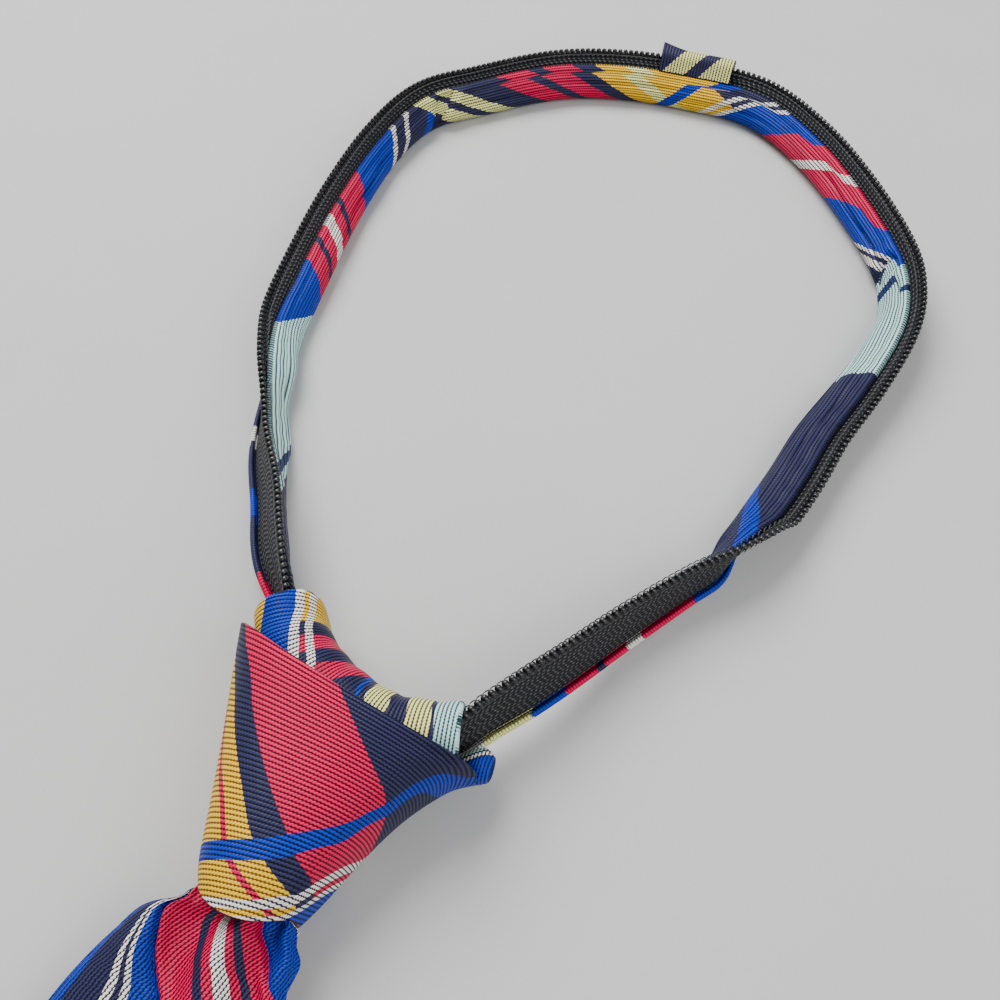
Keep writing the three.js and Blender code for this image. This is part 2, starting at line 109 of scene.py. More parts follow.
# Route of the band: x and y are shares of the loop, then lift, tilt in degrees and belly
BAND_ROUTE = (
    (-0.047, -0.018, 0.84, 95, 0), (-0.083, 0.002, 0.84, 95, 0), (-0.119, 0.033, 0.84, 97, 0),
    (-0.16, 0.056, 0.88, 108, 0), (-0.2, 0.082, 0.96, 118, 0.1), (-0.23, 0.112, 0.88, 121, 0.2),
    (-0.264, 0.157, 0.6, 119, 0.3), (-0.315, 0.22, 0.12, 112, 1.6), (-0.345, 0.28, 0, 102, 2.2),
    (-0.358, 0.34, 0, 82, 2.2), (-0.362, 0.41, 0, 58, 1), (-0.374, 0.51, 0, 54, 1),
    (-0.386, 0.62, 0, 58, 1), (-0.384, 0.74, 0, 64, 1), (-0.345, 0.835, 0, 60, 0.7),
    (-0.26, 0.89, 0, 56, 0.8), (-0.13, 0.96, 0, 56, 1), (0, 0.992, 0, 56, 1), (0.13, 1, 0, 56, 1),
    (0.27, 0.992, 0, 56, 1), (0.39, 0.93, 0, 58, 1), (0.49, 0.845, 0, 58, 1), (0.575, 0.75, 0, 60, 0.7),
    (0.6, 0.685, 0, 58, 0.6), (0.59, 0.62, 0, 50, 1), (0.545, 0.535, 0, 38, 1), (0.502, 0.458, 0, 33, 1),
    (0.475, 0.388, 0, 31, 1), (0.45, 0.328, 0, 34, 1), (0.444, 0.285, 0, 60, 1.5), (0.436, 0.245, 0, 86, 1),
    (0.4, 0.208, 0, 95, 0.5), (0.335, 0.138, 0.24, 102, 0.3), (0.285, 0.08, 0.6, 105, 0.2),
    (0.242, 0.034, 0.88, 106, 0.1), (0.202, 0.001, 0.88, 102, 0), (0.16, -0.034, 0.84, 97, 0),
    (0.105, -0.045, 0.84, 95, 0), (0.056, -0.043, 0.84, 95, 0),
)

# Casing round the tape's folded edge: width, lip, wall, side and belly
CASING_OUTSIDE = (
    (1, 0, 0, 1, 0), (0.7, 0, 0, 1, 0.75), (0.4, 0, 0, 1, 1), (0.13, 0, 0, 0.8, 0.75),
    (0, 0, 0, 0.14, 0), (0, 0.3, 0, -0.8, 0), (0, 0.7, 0, -1, 0), (0, 1, 0, -1, 0),
)
CASING_INSIDE = (
    (0, 1, 0, -1, 0), (0, 0, 1, -0.6, 0), (0, 0, 1, 0.9, 0), (0.4, 0, 0, 1, 1),
    (0.7, 0, 0, 1, 0.75), (1, 0, 0, 1, 0),
)

# Knot from its mouth to its top edge: left x and y, right x and y, thick, crown
KNOT_SECTIONS = (
    (-0.18, -0.915, 0.15, -0.93, 0.72, 0.08), (-0.212, -0.83, 0.2, -0.82, 0.8, 0.06),
    (-0.262, -0.61, 0.275, -0.62, 0.9, 0.04), (-0.325, -0.37, 0.355, -0.45, 0.96, 0.04),
    (-0.4, -0.11, 0.46, -0.3, 1, 0.05), (-0.44, 0.03, 0.545, -0.235, 1, 0.06),
)

# Middle line of the roll: x, y, deep, thick
ROLL_ROUTE = (
    (-0.3, 0.15, 0.8, 1), (-0.18, -0.03, 0.87, 1), (0, -0.145, 0.86, 1),
    (0.22, -0.185, 0.76, 1), (0.455, -0.125, 0.74, 0.96),
)

# Blade from inside the mouth to its tip: y, width, lift, pleat
BLADE_SECTIONS = (
    (0, 0.12, 1, 0.6), (0.016, 0.13, 1, 0.8), (0.028, 0.32, 0.9, 1), (0.06, 0.5, 0.6, 0.9),
    (0.1, 0.6, 0.3, 0.75), (0.16, 0.67, 0.06, 0.5), (0.22, 0.7, 0, 0.3), (0.35, 0.77, 0, 0.08),
    (0.5, 0.84, 0, 0), (0.7, 0.92, 0, 0), (0.8, 0.96, 0, 0), (0.87, 0.985, 0, 0),
    (0.905, 0.99, 0, 0), (0.935, 0.68, 0, 0), (1, 0.02, 0, 0),
)

# Lengthwise pleats of the blade: centre, half width, height
PLEATS = ((0.17, 0.2, 0.45), (0.62, 0.22, 1), (0.94, 0.1, 0.4))

# How far the camera stands to the right of the tie's origin, short of it and above it, in
# millimetres, and how it is turned
VIEW_RIGHT = 25
VIEW_SHORT = 65
VIEW_HEIGHT = 170
VIEW_AZIMUTH = math.radians(19)
VIEW_PITCH = math.radians(58)

# Half the floor's side and how far it lies below the tie, in metres
FLOOR_HALF = 3.0
FLOOR_DROP = 0.0003

# Where the tie's own origin lies in the row frame, from the blade's box
BLADE_LOW, BLADE_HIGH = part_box("blade_front")
ROW_SHIFT = np.array([
    (BLADE_LOW.x + BLADE_HIGH.x) / 2 - BLADE_OFFSET * KNOT_WIDTH * MM,
    BLADE_HIGH.y - BLADE_START * KNOT_HEIGHT * MM,
    0.0,
])

# Each yarn's two sRGB colours: its colour on the ribs, and a darker copy that is painted shade in the
# grooves between the ribs; and which of the two is which
ON_RIBS = 0
SHADED_BETWEEN_RIBS = 1
YARNS = {
    "red": ((207, 0, 70), (66, 0, 24)),
    "navy": ((41, 42, 76), (8, 8, 20)),
    "blue": ((8, 50, 172), (2, 8, 46)),
    "deep": ((20, 36, 92), (6, 9, 30)),
    "gold": ((232, 184, 26), (96, 62, 12)),
    "cream": ((230, 228, 146), (44, 46, 34)),
    "mint": ((182, 220, 216), (22, 50, 58)),
    "white": ((232, 228, 219), (28, 26, 44)),
}

# Most stripes that one colour ramp holds
RAMP_STOPS = 30


def linear(colour):
    """An sRGB colour of whole numbers as Blender's linear colour."""
    parts = [part / 255 for part in colour]
    return [p / 12.92 if p <= 0.04045 else ((p + 0.055) / 1.055) ** 2.4 for p in parts] + [1.0]


def smooth_rows(rows, shares):
    """Smooth values between the rows of a table, read as the solids' tables are."""
    rows = np.array(rows, float)
    place = np.clip(np.asarray(shares, float), 0, 1) * (len(rows) - 1)
    start = np.minimum(place.astype(int), len(rows) - 2)
    part = (place - start)[..., None]
    before = rows[np.maximum(start - 1, 0)]
    here = rows[start]
    after = rows[start + 1]
    later = rows[np.minimum(start + 2, len(rows) - 1)]
    leave = (after - before) / 2
    reach = (later - here) / 2
    cubic = 2 * here - 2 * after + leave + reach
    square = -3 * here + 3 * after - 2 * leave - reach
    return ((cubic * part + square) * part + leave) * part + here


def ease(low, high, values):
    """0 below low, 1 above high, and smooth between them."""
    share = np.clip((np.asarray(values, float) - low) / (high - low), 0, 1)
    return share * share * (3 - 2 * share)


def read(table, values):
    """Values on straight lines between a table's rows, each a place and its value."""
    places, levels = zip(*table)
    return np.interp(values, places, levels)


def hump(values, centre, width):
    """A smooth hump of height 1."""
    return np.exp(-(((np.asarray(values, float) - centre) / width) ** 2))


def lengths(points):
    """Length along a line of points, from its first."""
    steps = np.linalg.norm(np.diff(points, axis=-2), axis=-1)
    start = np.zeros(steps.shape[:-1] + (1,))
    return np.concatenate([start, np.cumsum(steps, axis=-1)], axis=-1)


def row_points(points):
    """Millimetres in the tie's own frame as metres in the row frame."""
    return np.asarray(points, float) * MM + ROW_SHIFT


def skin(name, points, layers, rows_closed=False):
    """A closed skin over rings of points, with the named UV layers, in millimetres."""
    rows, columns = points.shape[:2]
    index = np.arange(rows * columns).reshape(rows, columns)
    index = np.concatenate([index, index[:, :1]], axis=1)
    if rows_closed:
        index = np.concatenate([index, index[:1]], axis=0)
    corners = [index[:-1, :-1], index[:-1, 1:], index[1:, 1:], index[1:, :-1]]
    faces = np.stack(corners, axis=-1).reshape(-1, 4).tolist()
    caps = [] if rows_closed else [index[0, :-1].tolist(), index[-1, :-1].tolist()]
    mesh = bpy.data.meshes.new(name)
    mesh.from_pydata(row_points(points).reshape(-1, 3).tolist(), [], faces + caps)
    for layer, values in layers.items():
        if rows_closed:
            values = np.concatenate([values, values[:1]], axis=0)
        loops = [values[:-1, :-1], values[:-1, 1:], values[1:, 1:], values[1:, :-1]]
        flat = np.stack(loops, axis=-2).reshape(-1, 2)
        ends = [values[0, :-1], values[-1, :-1]] if caps else []
        flat = np.concatenate([flat, *ends])
        mesh.uv_layers.new(name=layer).data.foreach_set("uv", flat.astype(np.float32).ravel())
    return outward(mesh)


def outward(mesh):
    """Turns a mesh's faces outwards and shades them smooth."""
    work = bmesh.new()
    work.from_mesh(mesh)
    bmesh.ops.recalc_face_normals(work, faces=work.faces)
    work.to_mesh(mesh)
    work.free()
    mesh.polygons.foreach_set("use_smooth", [True] * len(mesh.polygons))
    mesh.update()
    return mesh


def place(name, mesh, materials, slot, nodes=()):
    """Puts a finished mesh into the scene as a piece that rides on the tie."""
    piece = bpy.data.objects.new(name, mesh)
    bpy.context.scene.collection.objects.link(piece)
    for material in materials:
        mesh.materials.append(material)
    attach(piece, BODY)
    if nodes:
        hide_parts(*nodes)
    return piece


class Value:
    """A number in a shader. Python's operators on it add Math nodes."""

    def __init__(self, maker, socket):
        self.maker = maker
        self.socket = socket

    def __add__(self, other):
        return self.maker.math("ADD", self, other)

    def __sub__(self, other):
        return self.maker.math("SUBTRACT", self, other)

    def __mul__(self, other):
        return self.maker.math("MULTIPLY", self, other)

    def __radd__(self, other):
        return self.maker.math("ADD", other, self)

    def __rsub__(self, other):
        return self.maker.math("SUBTRACT", other, self)


class NodeMaker:
    """Adds nodes to one material's tree."""

    def __init__(self, name):
        self.material = bpy.data.materials.new(name)
        self.material.use_nodes = True
        self.tree = self.material.node_tree
        self.tree.nodes.clear()

    def make(self, kind, settings=None, sockets=None):
        """One node: its settings first, then the values or links of its sockets."""
        node = self.tree.nodes.new(kind)
        for key, value in (settings or {}).items():
            if key == "stops":
                self.set_stops(node.color_ramp, value)
            else:
                setattr(node, key, value)
        for key, value in (sockets or {}).items():
            source = value.socket if isinstance(value, Value) else value
            if isinstance(source, bpy.types.NodeSocket):
                self.tree.links.new(source, node.inputs[key])
            else:
                node.inputs[key].default_value = source
        return node

    def set_stops(self, ramp, stops):
        """Sharp steps of colour, each a place and the colour from there on."""
        ramp.interpolation = "CONSTANT"
        while len(ramp.elements) < len(stops):
            ramp.elements.new(1.0)
        for element, (position, colour) in zip(ramp.elements, stops):
            element.position = position
            element.color = colour

    def value(self, node, output=0):
        return Value(self, node.outputs[output])

    def math(self, operation, *values):
        """One Math node on numbers and sockets."""
        sockets = dict(enumerate(values))
        return self.value(self.make("ShaderNodeMath", {"operation": operation}, sockets))

    def between(self, value, low, high):
        """Smooth 0 to 1 between two values."""
        settings = {"interpolation_type": "SMOOTHSTEP"}
        node = self.make("ShaderNodeMapRange", settings, {0: value, 1: low, 2: high})
        return self.value(node)

    def mix(self, factor, first, second, blend="MIX"):
        """Mixes two colours."""
        settings = {"data_type": "RGBA", "blend_type": blend}
        node = self.make("ShaderNodeMix", settings, {0: factor, 6: first, 7: second})
        return self.value(node, 2)

    def layer(self, name):
        """The two numbers of a UV layer."""
        source = self.make("ShaderNodeUVMap", {"uv_map": name})
        parts = self.make("ShaderNodeSeparateXYZ", None, {0: source.outputs[0]})
        return self.value(parts, 0), self.value(parts, 1)

    def noise(self, vector, scale, detail=2.0):
        """Noise from 0 to 1 at a vector."""
        sockets = {"Vector": vector, "Scale": scale, "Detail": detail}
        return self.value(self.make("ShaderNodeTexNoise", None, sockets))

    def vector(self, x, y, z=0.0):
        return self.value(self.make("ShaderNodeCombineXYZ", None, {0: x, 1: y, 2: z}))

    def object_place(self):
        """The place on the piece, in its own axes."""
        return Value(self, self.make("ShaderNodeTexCoord").outputs["Object"])

    def finish(self, sockets):
        """Connects a Principled shader to the material's output."""
        shader = self.make("ShaderNodeBsdfPrincipled", None, sockets)
        self.make("ShaderNodeOutputMaterial", None, {"Surface": shader.outputs[0]})
        return self.material


def yarn_colour(name, kind):
    """A yarn's colour with a cover of 1, or a cover of 0 where the chart has no stripe."""
    yarn = name.rstrip("+")
    return [0.0] * 4 if yarn == "none" else linear(YARNS[yarn][kind])


def chart_stops(chart, value_of):
    """Where each stripe of a chart starts, as a share of it, and the value of its yarn."""
    total = chart[-1][1]
    starts = [0.0] + [end / total for _, end in chart[:-1]]
    return [(start, value_of(name)) for start, (name, _) in zip(starts, chart)]


def stripe_colour(maker, chart, coordinate, kind):
    """Colour and cover of a chart of stripes, each a yarn and where it ends in millimetres."""
    stops = chart_stops(chart, lambda name: yarn_colour(name, kind))
    share = coordinate * (1 / chart[-1][1])
    result = None
    for first in range(0, len(stops), RAMP_STOPS):
        group = stops[first:first + RAMP_STOPS]
        rows = [(0.0, group[0][1]), *group[1:]]
        ramp = maker.make("ShaderNodeValToRGB", {"stops": rows}, {0: share})
        found = (maker.value(ramp, 0), maker.value(ramp, 1))
        if result is None:
            result = found
        else:
            later = maker.math("GREATER_THAN", share, group[0][0])
            cover = result[1] + later * (found[1] - result[1])
            result = (maker.mix(later, result[0], found[0]), cover)
    return result


def over_mask(maker, chart, coordinate):
    """1 where a chart's stripe lies over the other family's stripes."""
    stops = []
    for start, level in chart_stops(chart, lambda name: float(name.endswith("+"))):
        if not stops or stops[-1][1][0] != level:
            stops.append((start, [level, level, level, 1.0]))
    share = coordinate * (1 / chart[-1][1])
    return maker.value(maker.make("ShaderNodeValToRGB", {"stops": stops}, {0: share}))


def cloth_finish(name, base, crossing, rib, slopes=(1.0, -1.0), repeats=False):
    """Ribbed plaid cloth, with painted shade in the grooves between its ribs. Base and crossing chart the
    two families of stripes.
    """
    maker = NodeMaker(name)
    along, across = maker.layer("ribs")
    first, second = maker.layer("stripes")
    rows = across * (1 / rib)
    row = maker.math("FLOOR", rows)
    part = rows - row
    ridge = maker.math("SINE", part * math.pi)
    step = (part - 0.5) * rib
    first = first - step * (0.4 * slopes[0])
    second = second - step * (0.4 * slopes[1])
    if repeats:
        first = maker.math("FLOORED_MODULO", first, base[-1][1])
        second = maker.math("FLOORED_MODULO", second, crossing[-1][1])
    weave_place = maker.vector(along * 0.9, across * 3.2)
    thread = maker.noise(weave_place, 1.0, 3.0)
    dots = maker.math("SINE", (along * (1 / (rib * 0.86)) + row * 0.37 + part * 0.9) * (2 * math.pi))
    # Mask of the ribs' crests, 1 on the crest and 0 in the groove, where painted shade darkens the colour
    lit_crest = maker.between(ridge + dots * 0.24 + (thread - 0.5) * 0.35, 0.3, 0.86)
    over = over_mask(maker, base, first)
    shades = []
    for kind in (SHADED_BETWEEN_RIBS, ON_RIBS):
        under, _ = stripe_colour(maker, base, first, kind)
        upper, cover = stripe_colour(maker, crossing, second, kind)
        shades.append(maker.mix(cover * (1 - over), under, upper))
    # Painted shade: each yarn's darker copy fills the grooves between the ribs, its lit colour the crests
    colour = maker.mix(lit_crest, *shades)
    broad = maker.noise(maker.object_place(), 55.0, 3.0)
    shade = 0.86 + broad * 0.16 + thread * 0.14
    tone = maker.vector(shade, shade, shade)
    colour = maker.mix(1.0, colour, tone, "MULTIPLY")
    fuzz = maker.noise(maker.object_place(), 2600.0, 2.0)
    height = ridge * 0.75 + dots * ridge * 0.14 + thread * 0.16 + fuzz * 0.08
    bump = maker.make("ShaderNodeBump", None, {"Strength": 0.6, "Distance": 0.00026, "Height": height})
    rough = 0.52 - lit_crest * 0.15 + (fuzz - 0.5) * 0.1
    return maker.finish({
        "Base Color": colour,
        "Roughness": rough,
        "Normal": bump.outputs[0],
        "Specular IOR Level": 0.12,
    })


def tape_finish(name):
    """Black woven tape: a coarse herringbone of glinting yarn, with painted highlights on its crests and
    painted glints.
    """
    maker = NodeMaker(name)
    along, across = maker.layer("ribs")
    side = maker.math("PINGPONG", across * 0.55, 1.0)
    weave = maker.math("SINE", (along * 0.86 + side * 0.8) * (2 * math.pi))
    warp = maker.math("SINE", across * (2 * math.pi * 1.3))
    fuzz = maker.noise(maker.object_place(), 1300.0, 3.0)
    broad = maker.noise(maker.object_place(), 60.0, 2.0)
    # Painted highlight on the weave's crests, mixed with a random unevenness of tone
    level = maker.between(weave * 0.34 + warp * 0.26 + fuzz * 0.7 + broad * 0.3, 0.35, 1.05)
    # Painted glints: small pale specks put into the colour where the weave's crests meet
    painted_glint = maker.between(weave * 0.5 + warp * 0.5 + fuzz * 0.9, 0.95, 1.35)
    colour = maker.mix(level, linear((5, 5, 7)), linear((38, 39, 44)))
    colour = maker.mix(painted_glint, colour, linear((86, 88, 96)))
    height = weave * 0.45 + warp * 0.35 + fuzz * 0.3
    bump = maker.make("ShaderNodeBump", None, {"Strength": 1.0, "Distance": 0.0004, "Height": height})
    return maker.finish({
        "Base Color": colour,
        "Roughness": 0.76 - level * 0.24 - painted_glint * 0.14,
        "Normal": bump.outputs[0],
        "Specular IOR Level": 0.34,
        "Sheen Weight": 0.02,
    })


def plastic_finish(name, dark, pale):
    """Glossy dyed nylon, with a few scuffs."""
    maker = NodeMaker(name)
    spot = maker.object_place()
    scuffs = maker.noise(spot, 900.0, 4.0)
    broad = maker.noise(spot, 120.0, 2.0)
    colour = maker.mix(maker.between(scuffs + broad * 0.4, 0.55, 0.95), linear(dark), linear(pale))
    bump = maker.make("ShaderNodeBump", None, {"Strength": 0.25, "Distance": 0.00006, "Height": scuffs})
    return maker.finish({
        "Base Color": colour,
        "Roughness": 0.24 + scuffs * 0.22,
        "Normal": bump.outputs[0],
        "Specular IOR Level": 0.55,
    })


def enamel_finish(name):
    """Black enamel on cast zinc, worn to metal in places."""
    maker = NodeMaker(name)
    spot = maker.object_place()
    wear = maker.between(maker.noise(spot, 700.0, 5.0), 0.66, 0.72)
    colour = maker.mix(wear, linear((20, 20, 22)), linear((150, 148, 144)))
    grain = maker.noise(spot, 1500.0, 2.0)
    bump = maker.make("ShaderNodeBump", None, {"Strength": 0.2, "Distance": 0.00005, "Height": grain})
    return maker.finish({
        "Base Color": colour,
        "Metallic": wear,
        "Roughness": 0.3 + grain * 0.15,
        "Normal": bump.outputs[0],
    })


def thread_finish(name, colour, pale):
    """Twisted sewing thread."""
    maker = NodeMaker(name)
    twist = maker.noise(maker.object_place(), 3200.0, 2.0)
    shade = maker.mix(maker.between(twist, 0.3, 0.7), linear(colour), linear(pale))
    bump = maker.make("ShaderNodeBump", None, {"Strength": 0.4, "Distance": 0.00008, "Height": twist})
    return maker.finish({
        "Base Color": shade,
        "Roughness": 0.5 + twist * 0.2,
        "Normal": bump.outputs[0],
        "Sheen Weight": 0.2,
    })


def casing_outline(rows, wall, belly):
    """The u and v of a casing outline at stations of the given bellies."""
    rows = np.array(rows, float)
    across = rows[:, 0] * CASING_WIDTH + rows[:, 1] * CASING_LIP + rows[:, 2] * CLOTH_WALL
    face = TAPE_THICKNESS / 2 + CASING_CLEARANCE + wall
    rise = rows[:, 3] * face + rows[:, 4] * CASING_BELLY * np.asarray(belly, float)[:, None]
    return np.broadcast_to(across, rise.shape), rise


class Band:
    """The band's stations: where its folded edge is, and u across it and v out of its face there."""

    def __init__(self, shares):
        row = smooth_rows(BAND_ROUTE, shares)
        before = smooth_rows(BAND_ROUTE, np.maximum(shares - HALF_STEP, 0))
        after = smooth_rows(BAND_ROUTE, np.minimum(shares + HALF_STEP, 1))
        along = (after - before)[:, :2] * [LOOP_WIDTH, LOOP_LENGTH]
        along /= np.linalg.norm(along, axis=1)[:, None]
        away = np.stack([-along[:, 1], along[:, 0], np.zeros(len(shares))], axis=1)
        upward = np.array([0.0, 0.0, 1.0])
        tilt = np.radians(row[:, 3])[:, None]
        self.shares = shares
        self.u = away * np.cos(tilt) + upward * np.sin(tilt)
        self.v = -away * np.sin(tilt) + upward * np.cos(tilt)
        self.along = np.concatenate([along, np.zeros((len(shares), 1))], axis=1)
        self.belly = np.maximum(row[:, 4], 0)
        outer = casing_outline(CASING_OUTSIDE, CLOTH_WALL, self.belly)
        inner = casing_outline(CASING_INSIDE, 0, self.belly)
        across = np.concatenate([outer[0], inner[0]], axis=1)
        rise = np.concatenate([outer[1], inner[1]], axis=1)
        lowest = (across * self.u[:, 2:] + rise * self.v[:, 2:]).min(axis=1)
        lift = np.maximum(row[:, 2], 0) * LEG_LIFT
        self.origin = np.stack([row[:, 0] * LOOP_WIDTH, row[:, 1] * LOOP_LENGTH, lift - lowest], axis=1)
        self.arc = lengths(np.stack([row[:, 0] * LOOP_WIDTH, row[:, 1] * LOOP_LENGTH, lift], axis=1))

    def ring(self, across, rise):
        """Points at u and v of each station."""
        return (self.origin[:, None] + self.u[:, None] * across[..., None]
                + self.v[:, None] * rise[..., None])


ROUTE = Band(np.linspace(0, 1, 1601))


def share_at(arc):
    """Share of the route at a length along the folded edge."""
    return np.interp(arc, ROUTE.arc, ROUTE.shares)


def arc_at(share):
    """Length along the folded edge at a share of the route."""
    return float(np.interp(share, ROUTE.shares, ROUTE.arc))


def edge_arc(from_point, to_point, bulge, count):
    """Points of a rounded cloth edge between two points, without its ends."""
    share = np.linspace(0, 1, count + 2)[1:-1]
    turn = np.pi * share
    middle = (from_point + to_point)[..., None, :] / 2
    half = (from_point - to_point)[..., None, :] / 2
    return middle + half * np.cos(turn)[:, None] + bulge[..., None, :] * np.sin(turn)[:, None]


# Stripes along the neck band, each a yarn and the millimetre where it ends. A plus sign puts a
# stripe over the other family.
BAND_BASE = (
    ("navy", 57.5), ("mint+", 61.5), ("deep+", 65.5), ("mint+", 97), ("navy", 174), ("cream+", 181),
    ("navy+", 185), ("cream+", 191), ("navy", 199.5), ("red", 206.5), ("navy", 212), ("red", 218),
    ("navy", 224), ("gold", 231), ("cream", 238), ("gold", 243), ("red", 244), ("gold", 256),
    ("navy", 317), ("mint+", 322), ("deep+", 323.4), ("mint+", 351), ("navy", 480.5),
)
BAND_CROSSING = (
    ("none", 60), ("blue", 96), ("red", 102), ("navy", 104), ("red", 108), ("white", 111),
    ("red", 115), ("navy", 117), ("red", 127), ("blue", 143), ("white", 146.2), ("navy", 148.4),
    ("white", 151.5), ("navy", 159), ("blue", 163), ("none", 226), ("blue", 230), ("none", 238),
    ("white", 240), ("none", 242), ("white", 244), ("blue", 256.5), ("red", 268),
    ("white", 270.6), ("red", 282), ("blue", 297), ("white", 299.4), ("navy", 301.8),
    ("white", 304.3), ("none", 379), ("blue", 384.5), ("none", 480.5),
)
LIP_BASE = (
    ("navy", 10), ("red", 22), ("navy", 35), ("blue", 43), ("navy", 56), ("white", 59), ("navy", 392),
    ("blue", 410.5), ("red", 424), ("white", 427.5), ("red", 432), ("navy", 434), ("red", 442),
    ("blue", 450), ("cream", 458), ("white", 480.5),
)
LIP_CROSSING = (("none", 480.5),)

# The sett of the cloth, across each family of stripes, where it repeats
SETT_BASE = (
    ("gold", 5.5), ("red", 6.6), ("gold", 11.4), ("navy", 16.9), ("red", 34), ("navy", 48),
    ("cream+", 52.7), ("navy+", 56.5), ("cream+", 61.2), ("navy", 66), ("red", 70.6), ("navy", 75.2),
    ("red", 80), ("navy", 84.7), ("mint+", 88), ("deep+", 89), ("mint+", 106), ("navy", 113),
)
SETT_CROSSING = (
    ("blue", 3), ("none", 10.5), ("white", 12.7), ("none", 14), ("white", 15.8), ("blue", 23.2),
    ("red", 30.5), ("navy", 32.6), ("red", 34.7), ("white", 38), ("red", 40), ("navy", 42),
    ("red", 47.7), ("blue", 55.2), ("white", 57.2), ("none", 58.6), ("white", 60.6), ("none", 74.6),
)

# Along the band: how wide the casing is on its sewn side and on its lip, as shares of the solid's
SEAM_REACH = (
    (0, 1), (80, 1), (100, 0.87), (150, 0.86), (172, 0.94), (190, 0.97), (230, 0.92), (300, 0.92),
    (330, 1), (480, 1),
)
LIP_REACH = (
    (0, 0.5), (60, 0.5), (90, 0.9), (380, 1), (400, 0.45), (450, 0.4), (470, 0.45), (480, 0.6),
)

# Along the band: how far each family of stripes leans for a millimetre across
FIRST_LEAN = ((0, 1.05), (165, 1.05), (172, 1.7), (245, 1.7), (300, 0.5), (480, 0.5))
SECOND_LEAN = (
    (0, 0.85), (170, 0.85), (240, 1), (250, 1.3), (290, 1.3), (300, 1.7), (400, 1.7), (480, 1.7),
)

# Rings along the casing, and points of one ring outside, inside and round each cloth edge
CASING_ROWS = 561
OUTSIDE_POINTS = 48
INSIDE_POINTS = 14
EDGE_POINTS = 3

# Where across the casing its lip's own cloth begins, in millimetres beyond the folded edge
LIP_START = 0.6

# Where along the band it is pinched at its upper left corner and kinked at its right
PINCH_AT = 167
KINK_AT = 317


def casing_relief(arc, across, side):
    """How far the casing's outside stands proud: hem, creases, pinch and kink."""
    hem = hump(across, 6.9, 0.3) * -0.38 + ease(7.0, 7.6, across) * 0.16
    press = ease(7.7, 8.6, across) * -0.3
    wave = np.sin(arc * 0.23 + np.sin(arc * 0.09) * 1.6 + across * 0.35)
    crease = wave * 0.3 * hump(across, 4.2, 2.2)
    first = hump(across, 3.1 + 1.3 * np.sin(arc * 0.047 + 0.6), 0.42)
    first = first * (0.5 + 0.5 * np.sin(arc * 0.11))
    second = hump(across, 5.0 + 0.9 * np.sin(arc * 0.071 + 2.0), 0.38)
    second = second * (0.5 + 0.5 * np.sin(arc * 0.083 + 2.4))
    pucker = np.sin(arc * 1.05 + np.sin(arc * 0.31)) * 0.11 * hump(across, 7.0, 1.1)
    pinched = arc - PINCH_AT - across * 0.7
    pinch = -2.2 * hump(pinched, 0, 1.7) + 0.9 * hump(pinched, 4, 2.0) + 0.45 * hump(pinched, -4, 1.7)
    kinked = arc - KINK_AT + across * 0.35
    kink = -1.7 * hump(kinked, 0, 1.6) + 0.7 * hump(kinked, -4, 2.0) + 0.6 * hump(kinked, 4, 1.8)
    fold = (pinch + kink) * ease(0.1, 1.8, across) * (1 - ease(7.4, 8.4, across))
    lip_press = ease(0.9, 1.6, across) * -0.25
    relief = hem + press + crease + pucker + fold - 0.66 * first - 0.56 * second
    return np.where(side > 0, relief, lip_press)


def leg_fullness(arc):
    """How much further the casing's outside swells above the left end, where it turns over."""
    return 2.2 * ease(16, 30, arc) * (1 - ease(52, 68, arc))


